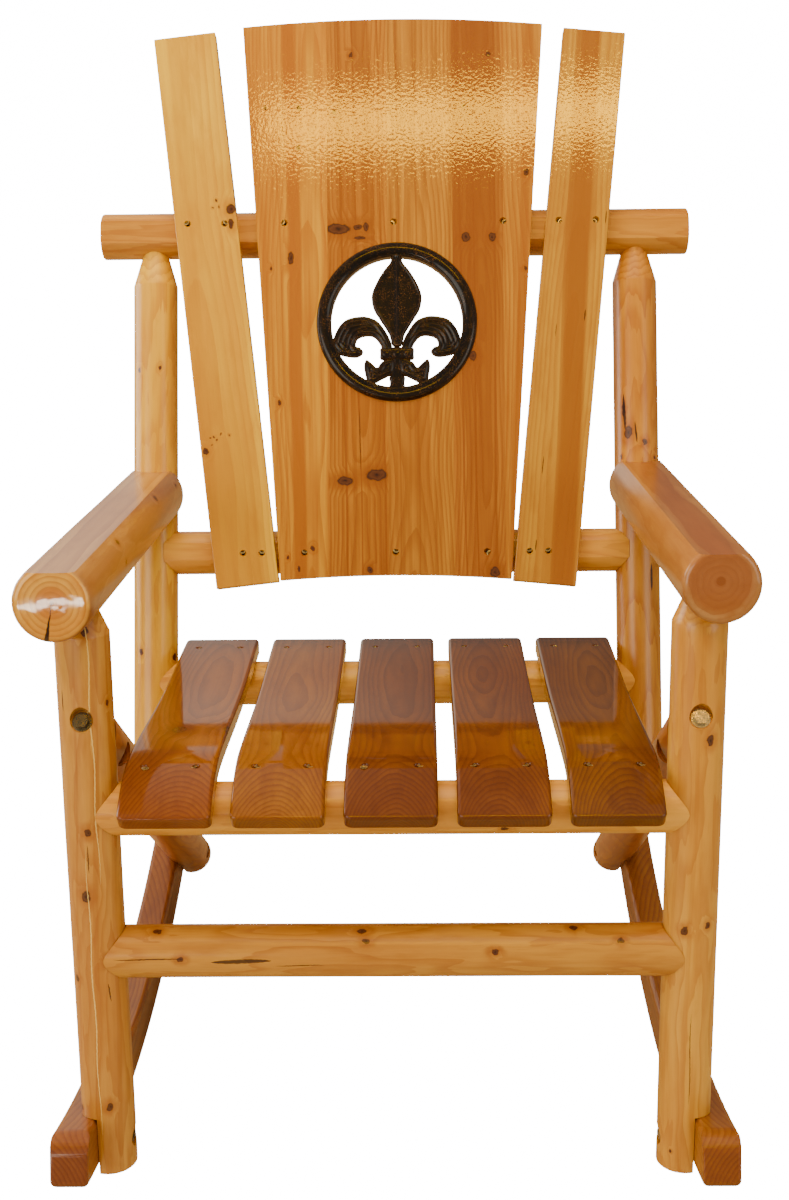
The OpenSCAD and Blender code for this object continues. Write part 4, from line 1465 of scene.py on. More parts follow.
def build_swept_board_tree() -> bpy.types.NodeTree:
    """Returns the tree that sweeps a rounded board along a spine in a plane x = constant."""
    tree = Effect(
        "swept_board",
        {
            GEOMETRY: ("Geometry",), MATERIAL: ("Material",),
            VALUE: ("Width", "Thickness", "Edge Radius", "End Radius"),
        },
        {GEOMETRY: ("Geometry",)},
        "GeometryNodeTree",
    )
    g = tree.graph
    spine = g.node("GeometryNodeMeshToCurve", {"Mesh": tree.given("Geometry")})
    capture = g.node("GeometryNodeCaptureAttribute", {"Geometry": g.out(spine)})
    for kind, name, source, output in (
        ("VECTOR", "place", "GeometryNodeInputPosition", 0),
        ("VECTOR", "along", "GeometryNodeInputTangent", 0),
        ("FLOAT", "run", "GeometryNodeSplineParameter", "Length"),
        ("FLOAT", "whole", "GeometryNodeSplineLength", "Length"),
    ):
        capture.capture_items.new(kind, name)
        g.feed(capture.inputs[name], g.out(g.node(source), output))
    section = g.node("GeometryNodeCurvePrimitiveQuadrilateral", {
        "Width": tree.given("Width"), "Height": tree.given("Thickness"),
    })
    fillet = g.node("GeometryNodeFilletCurve", {
        "Curve": g.out(section), "Count": FILLET_STEPS, "Radius": tree.given("Edge Radius"),
    }, mode="POLY")
    outline = g.node("GeometryNodeCaptureAttribute", {"Geometry": g.out(fillet)})
    outline.capture_items.new("VECTOR", "section")
    g.feed(outline.inputs["section"], g.out(g.node("GeometryNodeInputPosition")))
    sweep = g.node("GeometryNodeCurveToMesh", {
        "Curve": g.out(capture, "Geometry"), "Profile Curve": g.out(outline, "Geometry"),
        "Fill Caps": True,
    })
    u, v, _ = g.split(g.out(outline, "section"))
    run = g.out(capture, "run")
    to_end = g.math("MINIMUM", run, g.out(capture, "whole") - run)

    def shrunk(offset: Wire, radius: Wire) -> Wire:
        """Returns an offset drawn in near the board's ends by a round of a radius."""
        gap = g.math("MAXIMUM", radius - to_end, 0.0)
        inside = g.math("MAXIMUM", radius * radius - gap * gap, 0.0)
        draw = radius - g.math("SQRT", inside)
        size = g.math("MAXIMUM", g.math("ABSOLUTE", offset) - draw, 0.0)
        return size * g.math("SIGN", offset)

    sideways = shrunk(u, tree.given("End Radius"))
    outwards = shrunk(v, tree.given("Edge Radius"))
    normal = g.vector("NORMALIZE", g.vector("CROSS_PRODUCT", g.out(capture, "along"), (1, 0, 0)))
    place = g.vector("ADD", g.out(capture, "place"), g.combine(sideways, 0.0, 0.0))
    place = g.vector("ADD", place, g.vector("SCALE", normal, outwards))
    moved = g.node("GeometryNodeSetPosition", {"Geometry": g.out(sweep), "Position": place})
    return finish_tree(tree, g.out(moved))


def finish_tree(tree: Effect, shape: Wire) -> bpy.types.NodeTree:
    """Ends a geometry tree: realizes its instances and sets its material."""
    g = tree.graph
    real = g.node("GeometryNodeRealizeInstances", {"Geometry": shape})
    dressed = g.node("GeometryNodeSetMaterial", {
        "Geometry": g.out(real), "Material": tree.given("Material"),
    })
    tree.gives(Geometry=g.out(dressed))
    return tree.tree


def build_fastener_tree() -> bpy.types.NodeTree:
    """Returns the tree that sets copies of a part on points, facing as their attributes say."""
    tree = Effect(
        "set_fasteners",
        {
            GEOMETRY: ("Geometry",), SocketKind.OBJECT: ("Part",), VALUE: ("Size",),
            MATERIAL: ("Material",),
        },
        {GEOMETRY: ("Geometry",)},
        "GeometryNodeTree",
    )
    g = tree.graph
    part = g.node("GeometryNodeObjectInfo", {"Object": tree.given("Part")})
    read = "GeometryNodeInputNamedAttribute"
    facing = g.node(read, {"Name": "facing"}, data_type="FLOAT_VECTOR")
    turned = g.node(read, {"Name": "turned"}, data_type="FLOAT")
    aim = g.node("FunctionNodeAlignRotationToVector", {"Vector": g.out(facing)}, axis="Z")
    placed = g.node("GeometryNodeInstanceOnPoints", {
        "Points": tree.given("Geometry"), "Instance": g.out(part, "Geometry"),
        "Rotation": g.out(aim), "Scale": tree.given("Size"),
    })
    spun = g.node("GeometryNodeRotateInstances", {
        "Instances": g.out(placed), "Rotation": g.combine(0.0, 0.0, g.out(turned)),
        "Local Space": True,
    })
    return finish_tree(tree, g.out(spun))


def run_tree(
    mesh: bpy.types.Mesh, tree: bpy.types.NodeTree, inputs: dict[str, object]
) -> bpy.types.Mesh:
    """Runs a geometry tree on a mesh.

    Args:
        mesh: What the tree starts from.
        tree: The geometry node tree.
        inputs: Its inputs, by name.

    Returns:
        The result as a plain mesh.
    """
    carrier = new_object("carrier", mesh)
    modifier = carrier.modifiers.new("nodes", "NODES")
    modifier.node_group = tree
    for item in tree.interface.items_tree:
        if item.item_type == "SOCKET" and item.in_out == "INPUT" and item.name in inputs:
            modifier[item.identifier] = inputs[item.name]
    result = mesh_of(carrier)
    bpy.data.objects.remove(carrier)
    return result


def line_mesh(points: Sequence[Vector]) -> bpy.types.Mesh:
    """Returns a mesh of one open line through points."""
    mesh = bpy.data.meshes.new("line")
    mesh.from_pydata(points, [(i, i + 1) for i in range(len(points) - 1)], [])
    return mesh


def outward(mesh: bpy.types.Mesh) -> bpy.types.Mesh:
    """Merges a mesh's doubles, turns its faces outwards and returns it."""
    bm = opened(mesh)
    bmesh.ops.recalc_face_normals(bm, faces=bm.faces)
    bm.to_mesh(mesh)
    bm.free()
    return mesh


@dataclass(frozen=True)
class SweptBoard:
    """A curved board of even section: a seat slat or a rocker."""

    node: str
    slot: str
    finish: Pine
    spine: tuple[Vector, ...]
    width: float
    thickness: float
    edge_radius: float
    end_radius: float
    play: float = 0.0002

    def build(self, tree: bpy.types.NodeTree) -> bpy.types.Object:
        """Returns the board as a finished piece, cut to its construction node."""
        material = self.finish.build()
        swept = run_tree(line_mesh(self.spine), tree, {
            "Width": self.width - 2 * self.play,
            "Thickness": self.thickness - 2 * self.play,
            "Edge Radius": self.edge_radius,
            "End Radius": self.end_radius,
            "Material": material,
        })
        swept.transform(PLAN.rest)
        piece = new_object(self.node + "_board", cut_to_node(outward(swept), self.node))
        finish_piece(piece, (self.node,), material)
        return piece


def end_steps(length: float, step: float) -> list[float]:
    """Divides a board's length, closer together near both ends.

    Args:
        length: The board's length.
        step: Distance between the middle ones.

    Returns:
        Distances from its first end.
    """
    near = [0.0002, 0.0006, 0.0012, 0.002, 0.003, 0.0045, 0.0065]
    margin = 0.01
    inner = length - 2 * margin
    count = int(inner / step)
    middle = [margin + i * inner / count for i in range(count + 1)]
    return near + middle + [length - d for d in reversed(near)]


@dataclass
class Seat:
    """The five curved slats."""

    plan: Plan
    edge_radius: float = 0.0038
    end_radius: float = 0.0068
    step: float = 0.006
    middle: int = 2
    first_seed: float = 20.0
    seed_step: float = 3.7
    timbers: tuple[Wood, ...] = (
        Wood.SLAT_BROWN, Wood.SLAT_LIGHT, Wood.SLAT_RED, Wood.SLAT_RED, Wood.SLAT_RED,
    )
    tints: tuple[Colour, ...] = (
        (0.76, 0.59, 0.06), (0.65, 0.54, 0.06), (0.67, 0.60, 0.06), (0.70, 0.65, 0.06),
        (0.65, 0.69, 0.10),
    )
    piths: tuple[tuple[float, float], ...] = (
        (0.012, 0.062), (-0.004, 0.050), (0.006, 0.054), (-0.006, 0.046), (0.010, 0.050),
    )

    def centre_line(self, x: float) -> tuple[Vector, ...]:
        """Draws the middle line of a slat's thickness.

        Args:
            x: Middle of the slat.

        Returns:
            Points from its nose to its tail.
        """
        p = self.plan
        crest_z = p.seat_rail_z + p.crest_rise
        tail_y = p.seat_depth + p.slat_tail
        mid_r = p.nose_r - p.slat_t / 2
        nose_angle = math.asin((p.slat_nose + p.crest_y) / p.nose_r)
        arc = mid_r * nose_angle
        flat = tail_y - p.crest_y
        points = []
        for s in end_steps(arc + flat, self.step):
            if s < arc:
                a = nose_angle - s / mid_r
                y = p.crest_y - mid_r * math.sin(a)
                z = crest_z - p.nose_r + mid_r * math.cos(a)
            else:
                y = p.crest_y + s - arc
                u = (s - arc) / flat
                dish = p.seat_dish * (1 - math.cos(2 * math.pi * u)) / 2 + p.tail_fall * u
                z = crest_z - dish - p.slat_t / 2
            points.append(Vector((x, y, z)))
        return tuple(points)

    def build(self, tree: bpy.types.NodeTree) -> None:
        """Builds the slats from left to right."""
        p = self.plan
        for i, (wood, tint, pith) in enumerate(zip(self.timbers, self.tints, self.piths)):
            x = (i - self.middle) * p.slat_pitch
            place = p.plank(x, 0.0, p.seat_rail_z + p.crest_rise)
            finish = Pine(
                f"slat_{i + 1}_pine", wood, place, Surface.FLAT, pith=pith, drift=0.020,
                spacing=0.0031, wander=0.007, ring_depth=0.50, end_depth=0.50,
                seed=self.first_seed + self.seed_step * i, tint=tint, haze=0.05,
            )
            SweptBoard(
                f"seat_slat_{i + 1}", "slat_wood", finish, self.centre_line(x),
                p.slat_w, p.slat_t, self.edge_radius, self.end_radius,
            ).build(tree)


@dataclass
class Rockers:
    """The two curved boards that the chair rocks on."""

    plan: Plan
    edge_radius: float = 0.0058
    end_radius: float = 0.003
    step: float = 0.008
    first_seed: float = 50.0
    grain_z: float = 0.03
    pith: tuple[float, float] = (0.050, 0.008)
    tint_left: Colour = (0.90, 0.72, 0.20)
    tint_right: Colour = (1.10, 1.00, 0.26)

    def build(self, tree: bpy.types.NodeTree) -> None:
        """Builds both rockers."""
        p = self.plan
        front = p.rocker_front - p.rest_lean
        rear = p.rocker_rear + p.rest_lean
        mid_r = p.rocker_r - p.rocker_depth / 2
        inner_x = p.post_x + p.post_r - p.lap_depth
        length = mid_r * math.radians(front + rear)
        for side, name in SIDES:
            x = side * (inner_x + p.rocker_w / 2)
            spine = []
            for s in end_steps(length, self.step):
                a = math.radians(-front) + s / mid_r
                y = p.rocker_low_y + mid_r * math.sin(a)
                spine.append(Vector((x, y, p.rocker_r - mid_r * math.cos(a))))
            finish = Pine(
                f"rocker_{name}_pine", Wood.ROCKER, p.plank(x, p.rocker_low_y, self.grain_z),
                Surface.FLAT, tint=self.tint_left if side < 0 else self.tint_right,
                end_tint=(0.80, 0.72, 0.66), pith=(self.pith[0] * side, self.pith[1]),
                drift=0.02, spacing=0.0042, wander=0.006, ring_depth=0.55, end_depth=0.7,
                seed=self.first_seed + side,
            )
            SweptBoard(
                f"rocker_{name}", "rocker_wood", finish, tuple(spine),
                p.rocker_w, p.rocker_depth, self.edge_radius, self.end_radius,
            ).build(tree)


@dataclass
class LogFrame:
    """Posts, legs, armrests and rails."""

    plan: Plan
    past: float = 0.004
    play: float = 0.0002
    end_play: float = 0.0003
    arm_tenon: float = 0.03
    rail_tenon: float = 0.008
    top_tenon: float = 0.02
    stub: float = 0.12
    end_round: float = 0.0022
    arm_round: float = 0.0072
    arm_sides: int = 96

    def build(self) -> None:
        """Builds every log."""
        self._front_posts()
        self._legs()
        self._back_posts()
        self._arms()
        self._rails()

    def _log(
        self, node: str, slot: str, wood: Wood, place: Matrix, start: float, end: float,
        shape: dict[str, float], **look: object,
    ) -> None:
        """Builds one log.

        Args:
            node: Construction node that it stands for.
            slot: Material slot; not used.
            wood: Its timber.
            place: Frame of the log, z along its axis.
            start: Place of its first end along z.
            end: Place of its other end.
            shape: Fields of Log that differ from its defaults.
            look: Fields of Pine that differ from its defaults.
        """
        finish = Pine(node + "_pine", wood, place, **look)
        Log(node, slot, finish, start, end, **shape).build()

    def _front_posts(self) -> None:
        """Builds the two front posts."""
        p = self.plan
        tints = ((1.12, 1.04, 0.42), (1.38, 1.38, 0.42))
        piths = ((0.004, -0.003), (-0.003, 0.004))
        for (side, name), tint, pith, seed in zip(SIDES, tints, piths, (1.0, 2.0)):
            self._log(
                f"front_post_{name}", "log", Wood.HONEY, p.post(side), p.foot_z + self.play,
                p.arm_z + self.arm_tenon, {"round_start": self.end_round}, tint=tint,
                radius=p.post_r, seed=seed, pith=pith, end_depth=0.6,
            )

    def _legs(self) -> None:
        """Builds the two rear legs."""
        p = self.plan
        for side, name in SIDES:
            self._log(
                f"rear_leg_{name}", "leg_log", Wood.AMBER, p.leg(side), -self.past,
                p.leg_len - self.end_play, {"round_end": self.end_round},
                tint=(1.20, 0.86, 0.20), radius=p.post_r, seed=5.0 + side,
                pith=(0.003 * side, 0.002), heart=0.014,
            )

    def _back_posts(self) -> None:
        """Builds the two back posts."""
        p = self.plan
        # The left post's much lighter tint is partly its own wood and partly painted light falling
        # from the chair's left.
        tints = ((1.52, 1.68, 0.14), (1.02, 0.80, 0.14))
        for (side, name), tint, seed in zip(SIDES, tints, (8.0, 9.0)):
            self._log(
                f"back_post_{name}", "log", Wood.HONEY, p.back(side * p.post_x),
                self.stub - p.lower_rail_z, p.top_rail_rise + self.top_tenon, {}, tint=tint,
                radius=p.post_r, seed=seed,
            )

    def _arms(self) -> None:
        """Builds the two armrests."""
        p = self.plan
        looks = (
            {
                "tint": (1.00, 1.05, 1.10), "seed": 12.0, "end_haze": 0.03, "core": 0.0026,
                "pith": (0.001, -0.001), "spacing": 0.0052, "wander": 0.006, "heart": 0.016,
                "end_depth": 0.60, "end_tint": (1.74, 2.00, 0.8),
                "end_crack": EndCrack((0.001, -0.001), (-0.0062, 0.0365), 0.0045),
            },
            {
                "tint": (0.98, 0.96, 0.75), "seed": 13.0, "end_haze": 0.06, "core": 0.0050,
                "pith": (-0.002, -0.004), "spacing": 0.0058, "wander": 0.013, "heart": 0.031,
                "end_depth": 0.34, "mottle": 0.34, "end_tint": (1.06, 1.28, 2.0),
            },
        )
        for (side, name), look in zip(SIDES, looks):
            overhang = p.arm_overhang_left if side < 0 else p.arm_overhang_right
            run = p.back_y(p.arm_z + side * p.arm_skew) + overhang
            self._log(
                f"armrest_{name}", "arm_log", Wood.ARM, p.arm(side), self.play, run,
                {"round_start": self.arm_round, "sides": self.arm_sides}, radius=p.arm_r,
                haze=0.22, drift=0.004, ring_depth=0.40, **look,
            )

    def _rails(self) -> None:
        """Builds the rails."""
        p = self.plan
        reach = p.post_x + self.rail_tenon
        low_z = p.lower_rail_z
        low_y = p.back_y(low_z)
        # The seat rails' tint is lifted past their wood's own colour to lighten the shade under the
        # slats: painted light.
        dull, bright, honey = (1.36, 1.38, 0.50), (1.82, 2.00, 0.80), (1.44, 1.46, 0.50)
        for node, wood, place, tint, seed in (
            ("front_stretcher", Wood.AMBER, p.rail(0.0, p.stretcher_z), dull, 15.0),
            ("seat_front_rail", Wood.AMBER, p.rail(0.0, p.seat_rail_z), bright, 16.0),
            ("seat_rear_rail", Wood.AMBER, p.rail(p.seat_depth, p.seat_rail_z), bright, 17.0),
            ("lower_back_rail", Wood.HONEY, p.rail(low_y, low_z, p.back_lean), honey, 18.0),
        ):
            self._log(
                node, "rail_log", wood, place, -reach, reach, {}, tint=tint, radius=p.rail_r,
                seed=seed,
            )
        half = p.top_rail_len / 2 - self.end_play
        self._log(
            "top_back_rail", "rail_log", Wood.HONEY, p.top_rail(), -half, half,
            {"round_start": self.end_round, "round_end": self.end_round},
            tint=(1.06, 0.92, 0.20), radius=p.top_rail_r, seed=19.0, heart=0.016,
        )


@dataclass(frozen=True)
class FlatBoard:
    """A flat board of the back, with its outer edges eased."""

    node: str
    slot: str
    material: bpy.types.Material
    ease: float = 0.0012
    steps: int = 3
    flat: float = 0.5
    sharp: float = 60

    def build(self, keep: Callable[[Vector], bool]) -> bpy.types.Object:
        """Returns the board as a finished piece.

        Args:
            keep: Says of a point in the frame of the back's face whether an edge there stays.

        Returns:
            The piece.
        """
        to_face = PLAN.face().inverted()
        mesh = eased_copy(
            self.node, self.ease, self.steps, self.flat, self.sharp,
            lambda point: keep(to_face @ point),
        )
        for polygon in mesh.polygons:
            polygon.use_smooth = False
        piece = new_object(self.node + "_wood", mesh)
        finish_piece(piece, (self.node,), self.material)
        return piece


@dataclass
class Back:
    """The fanned back: five boards glued into a panel, and two side splats."""

    plan: Plan
    glue_x: tuple[float, ...] = (-0.079, -0.008, 0.070, 0.130)
    glue_margin: float = 0.0004
    hole_margin: float = 0.0062
    ring_margin: float = 0.002
    peel: float = 0.40
    haze: float = 0.035
    first_seed: float = 31.0
    seed_step: float = 2.0
    head_depth: float = 0.0008
    head_apart: float = 0.0085

    def screws(self) -> list[Vector]:
        """Returns the places of the back's screw heads, from the construction."""
        to_face = self.plan.face().inverted()
        mesh = frame["nodes"]["back_screws"].data
        points = [to_face @ v.co for v in mesh.vertices]
        heads: list[Vector] = []
        rims = [point for point in points if point.y < self.head_depth]
        for point in rims:
            if all((point.xz - h.xz).length > self.head_apart for h in heads):
                group = [q for q in rims if (q.xz - point.xz).length < self.head_apart]
                heads.append(sum(group, Vector()) / len(group))
        return heads

    def build(self) -> None:
        """Builds the boards from left to right, then the splats."""
        heads = self.screws()
        hole = Vector((self.plan.medallion_x, self.plan.medallion_rise))
        hole_r = self.plan.ring_d / 2 - self.plan.ring_lip + self.ring_margin

        def keep(point: Vector) -> bool:
            """Says whether a point lies on a glue line, a screw hole or the ring's hole."""
            at_glue = any(abs(point.x - x) < self.glue_margin for x in self.glue_x)
            at_screw = any((point.xz - h.xz).length < self.hole_margin for h in heads)
            at_ring = (point.xz - hole).length < hole_r
            return at_glue or at_screw or at_ring

        for nodes, slot, finish in self._panel() + self._splats():
            material = finish.build()
            for node in nodes:
                FlatBoard(node, slot, material).build(keep)

    def _panel(self) -> list[tuple[list[str], str, Pine]]:
        """Returns the panel's boards, left to right: nodes, slot and finish."""
        face = self.plan.face()
        pale, brown = Wood.BOARD_PALE, Wood.BOARD_BROWN
        boards = (
            (["1"], "light", pale, -0.110, (0.99, 0.87, 0.04), (0.01, 0.050), 0.030, 0.0036),
            (["2_upper", "2_lower"], "dark", brown, -0.043, (1.14, 1.10, 0.16), (0.004, 0.026),
             0.030, 0.0034),
            (["3_upper", "3_lower"], "light", brown, 0.031, (1.18, 1.26, 0.26), (-0.012, 0.040),
             0.026, 0.0034),
            (["4"], "dark", brown, 0.100, (1.10, 1.06, 0.26), (0.002, 0.024), 0.034, 0.0034),
            (["5"], "light", pale, 0.150, (0.84, 0.69, 0.08), (0.03, 0.055), 0.020, 0.0032),
        )
        panel = []
        for i, (ends, tone, wood, x, tint, pith, drift, spacing) in enumerate(boards):
            finish = Pine(
                f"board_{i + 1}_pine", wood, face @ shift(x, 0, 0), Surface.FLAT, peel=self.peel,
                haze=self.haze, ring_depth=0.56, wander=0.0045, streaks=0.80, mottle=0.14,
                tint=tint, pith=pith, drift=drift, spacing=spacing,
                seed=self.first_seed + self.seed_step * i,
            )
            panel.append(([f"back_board_{end}" for end in ends], f"board_{tone}", finish))
        return panel

    def _splats(self) -> list[tuple[list[str], str, Pine]]:
        """Returns the side splats: nodes, slot and finish."""
        looks = (
            {
                "tint": (1.40, 1.58, 0.12), "pith": (-0.02, 0.070), "drift": 0.02,
                "spacing": 0.0046, "ring_depth": 0.30, "seed": 41.0,
            },
            {
                "tint": (0.93, 0.88, 0.12), "pith": (0.004, 0.036), "drift": 0.012,
                "spacing": 0.0034, "ring_depth": 0.38, "seed": 43.0,
            },
        )
        return [
            ([f"back_splat_{name}"], "splat_wood", Pine(
                f"splat_{name}_pine", Wood.SPLAT, self.plan.splat(side), Surface.FLAT,
                wander=0.006, peel=self.peel, haze=self.haze, **look,
            ))
            for (side, name), look in zip(SIDES, looks)
        ]


def spline(points: Sequence[tuple[float, float]], steps: int) -> list[Vector]:
    """Draws a smooth closed curve.

    Args:
        points: Points that it passes.
        steps: Steps between each two.

    Returns:
        The points of the curve.
    """
    count = len(points)
    curve = []
    for i in range(count):
        a, b, c, d = (Vector(points[(i + k - 1) % count]) for k in range(4))
        for k in range(steps):
            t = k / steps
            curve.append(
                0.5 * (2 * b + (c - a) * t + (2 * a - 5 * b + 4 * c - d) * t * t
                       + (3 * b - a - 3 * c + d) * t * t * t)
            )
    return curve


def mirrored(points: Sequence[tuple[float, float]]) -> list[tuple[float, float]]:
    """Returns an outline mirrored across the lily's middle."""
    return [(-x, y) for x, y in reversed(points)]


class Relief(Enum):
    """How a part of the lily is modelled between its outlines."""

    PETAL = "petal"
    SCROLL = "scroll"
    PLAIN = "plain"


@dataclass
class Medallion:
    """The cast ring with its heraldic lily, drawn in hundredths of the ring's radius."""

    plan: Plan
    grid: float = 0.0009
    play: float = 0.0004
    sides: int = 144
    curve_steps: int = 6
    crown: float = 0.0030
    dome_width: float = 0.0042
    rim_height: float = 0.0008
    rim_at: float = 0.0022
    rim_width: float = 0.0011
    ridge_height: float = 0.0011
    ridge_width: float = 0.0016
    groove_depth: float = 0.0011
    groove_pitch: float = 0.0052
    shares: tuple[float, ...] = (0.78, 0.95, 0.9)
    dish: float = 0.0005
    dish_width: float = 0.012
    groove_start: float = 0.003
    skirt: float = 0.0004
    rim_z: float = 0.0001
    rear_play: float = 0.0008
    near_rim: float = 0.45
    smooth_angle: float = 50.0
    bump_r: float = 0.0046
    bump_lift: float = 0.0026
    bump_y: float = -40
    bump_x: tuple[float, ...] = (-13, 0, 13)
    ring_top: tuple[tuple[float, float], ...] = (
        (0.0, 0.8), (0.3, 2.0), (1.0, 2.7), (1.9, 2.9), (2.6, 2.7), (3.2, 2.9), (4.4, 3.6),
        (6.2, 4.3), (8.4, 4.75), (10.8, 4.8), (13.2, 4.2), (15.2, 3.0), (16.6, 1.5), (17.3, 0.2),
    )
    petal_half: tuple[tuple[float, float], ...] = (
        (5, 84), (8, 74), (16, 64), (25, 49), (31, 33), (29, 17), (21, 3), (10, -15), (5, -30),
    )
    side_petal: tuple[tuple[float, float], ...] = (
        (-6, -36), (-9, -21), (-21, -2), (-32, 5), (-45, 7), (-63, 3), (-74, -9), (-80, -27),
        (-73, -39), (-63, -43), (-49, -44), (-42, -38), (-46, -32), (-51, -30), (-49, -22),
        (-40, -18), (-29, -19), (-21, -28), (-17, -38),
    )
    low_curl: tuple[tuple[float, float], ...] = (
        (-2, -46), (-13, -47), (-20, -51), (-25, -57), (-31, -52), (-38, -47), (-41, -54),
        (-40, -64), (-37, -74), (-29, -77), (-21, -73), (-13, -69), (-3, -63),
    )
    stem_half: tuple[tuple[float, float], ...] = (
        (4, -42), (5, -54), (7, -65), (10, -70), (9, -77), (10, -88),
    )
    knot: tuple[tuple[float, float], ...] = (
        (-20, -33), (-8, -32), (8, -32), (20, -33), (21, -40), (20, -47), (8, -48), (-8, -48),
        (-20, -47), (-21, -40),
    )

    @property
    def unit(self) -> float:
        """Returns a hundredth of the ring's radius."""
        return self.plan.ring_d / 2 / 100

    def build(self) -> bpy.types.Object:
        """Returns the medallion as a finished piece."""
        bm = bmesh.new()
        self._ring(bm)
        for outline, relief, lift in (
            (list(self.petal_half) + mirrored(self.petal_half), Relief.PETAL, 0.0),
            (self.side_petal, Relief.SCROLL, 0.0),
            (mirrored(self.side_petal), Relief.SCROLL, 0.0),
            (self.low_curl, Relief.SCROLL, -0.0004),
            (mirrored(self.low_curl), Relief.SCROLL, -0.0004),
            (list(self.stem_half) + mirrored(self.stem_half), Relief.PLAIN, -0.0003),
            (self.knot, Relief.PLAIN, 0.0003),
        ):
            self._part(bm, spline(outline, self.curve_steps), relief, lift)
        for x in self.bump_x:
            self._bump(bm, x)
        bmesh.ops.recalc_face_normals(bm, faces=bm.faces)
        mesh = closed(bm, "lily_medallion")
        p = self.plan
        front = p.face() @ shift(p.medallion_x, 0, p.medallion_rise) @ turn("X", 90)
        mesh.transform(front)
        piece = new_object("lily_medallion_casting", smooth(mesh, self.smooth_angle))
        finish_piece(piece, ("lily_medallion",), CastIron().build())
        return piece

    def _ring(self, bm: bmesh.types.BMesh) -> None:
        """Adds the ring, turned from its section."""
        p = self.plan
        inner = p.ring_d / 2 - p.ring_w
        hole = p.ring_d / 2 - p.ring_lip - self.play
        section = [(inner + x * MM, z * MM) for x, z in self.ring_top]
        section += [(p.ring_d / 2 - self.play, self.rim_z), (hole, self.rim_z)]
        section += [(hole, -p.collar_depth), (inner + self.play, -p.collar_depth)]
        section += [(inner, -p.collar_depth + self.play)]
        loops = []
        for k in range(self.sides):
            a = 2 * math.pi * k / self.sides
            loops.append([bm.verts.new((math.cos(a) * r, math.sin(a) * r, z)) for r, z in section])
        for one, two in zip(loops, loops[1:] + loops[:1]):
            bridge(bm, one, two)

    def _part(
        self, bm: bmesh.types.BMesh, outline: list[Vector], relief: Relief, lift: float
    ) -> None:
        """Adds one modelled part of the lily, closed behind.

        Args:
            bm: Mesh to add to.
            outline: Its outline.
            relief: How it is modelled.
            lift: Its height above the others.
        """
        rim = [point * self.unit for point in outline]
        low = Vector((min(v.x for v in rim), min(v.y for v in rim)))
        high = Vector((max(v.x for v in rim), max(v.y for v in rim)))
        spare = self.grid * self.near_rim
        inner: list[Vector] = []
        for i in range(int((high.x - low.x) / self.grid) + 1):
            for j in range(int((high.y - low.y) / self.grid) + 1):
                point = Vector((low.x + (i + 0.5 * (j % 2)) * self.grid, low.y + j * self.grid))
                if inside(point, rim) and edge_distance(point, rim) > spare:
                    inner.append(point)
        count = len(rim)
        edges = [(i, (i + 1) % count) for i in range(count)]
        verts, _, faces, *_ = geometry.delaunay_2d_cdt(rim + inner, edges, [], 1, 1e-7)
        base = self.plan.ring_proud - self.plan.lily_t - self.rear_play
        front, rear = [], []
        for v in verts:
            d = edge_distance(v, rim)
            z = self.skirt + self._height(v, d, relief) + lift
            front.append(bm.verts.new((v.x, v.y, z)))
            rear.append(bm.verts.new((v.x, v.y, base)) if d < MERGE else None)
        for face in faces:
            bm.faces.new([front[i] for i in face])
        used = {pair: None for face in faces for pair in zip(face, face[1:] + face[:1])}
        follow: dict[int, int] = {}
        for a, b in used:
            if (b, a) not in used:
                follow[a] = b
                bm.faces.new((front[b], front[a], rear[a], rear[b]))
        loop = [next(i for i, v in enumerate(rear) if v is not None)]
        while follow[loop[-1]] != loop[0]:
            loop.append(follow[loop[-1]])
        bm.faces.new([rear[i] for i in reversed(loop)])

    def _height(self, at: Vector, d: float, relief: Relief) -> float:
        """Works out the height of the relief above its rim.

        Args:
            at: Point on the part.
            d: Its distance from the outline.
            relief: How the part is modelled.

        Returns:
            The height.
        """
        petal, scroll, plain = self.shares
        dome = math.sqrt(max(1 - (1 - min(d / self.dome_width, 1.0)) ** 2, 0.0))
        if relief is Relief.PETAL:
            rim = self.rim_height * math.exp(-((d - self.rim_at) / self.rim_width) ** 2)
            ridge = self.ridge_height * math.exp(-(at.x / self.ridge_width) ** 2)
            dish = self.dish * min(d / self.dish_width, 1.0)
            return self.crown * petal * dome + rim + ridge - dish
        if relief is Relief.SCROLL:
            wave = 0.5 - 0.5 * math.cos(2 * math.pi * d / self.groove_pitch)
            groove = self.groove_depth * wave * min(d / self.groove_start, 1.0)
            return self.crown * scroll * dome - groove
        return self.crown * plain * dome

    def _bump(self, bm: bmesh.types.BMesh, x: float) -> None:
        """Adds one of the three round bumps on the lily's knot."""
        place = Matrix.Translation((x * self.unit, self.bump_y * self.unit, self.bump_lift))
        stretch = Matrix.Diagonal((1.15, 1.0, 0.32, 1.0))
        bmesh.ops.create_uvsphere(
            bm, u_segments=20, v_segments=12, radius=self.bump_r, matrix=place @ stretch
        )


def inside(point: Vector, rim: Sequence[Vector]) -> bool:
    """Says whether a point lies inside a closed outline."""
    hit = False
    for a, b in zip(rim, list(rim[1:]) + [rim[0]]):
        if (a.y > point.y) != (b.y > point.y):
            if point.x < (b.x - a.x) * (point.y - a.y) / (b.y - a.y) + a.x:
                hit = not hit
    return hit


def edge_distance(point: Vector, rim: Sequence[Vector]) -> float:
    """Returns the distance from a point to a closed outline."""
    best = 1.0
    for a, b in zip(rim, list(rim[1:]) + [rim[0]]):
        span = b - a
        t = max(0.0, min(1.0, (point - a).dot(span) / max(span.length_squared, 1e-18)))
        best = min(best, (point - a - span * t).length)
    return best


METAL_ANGLE = 30.0


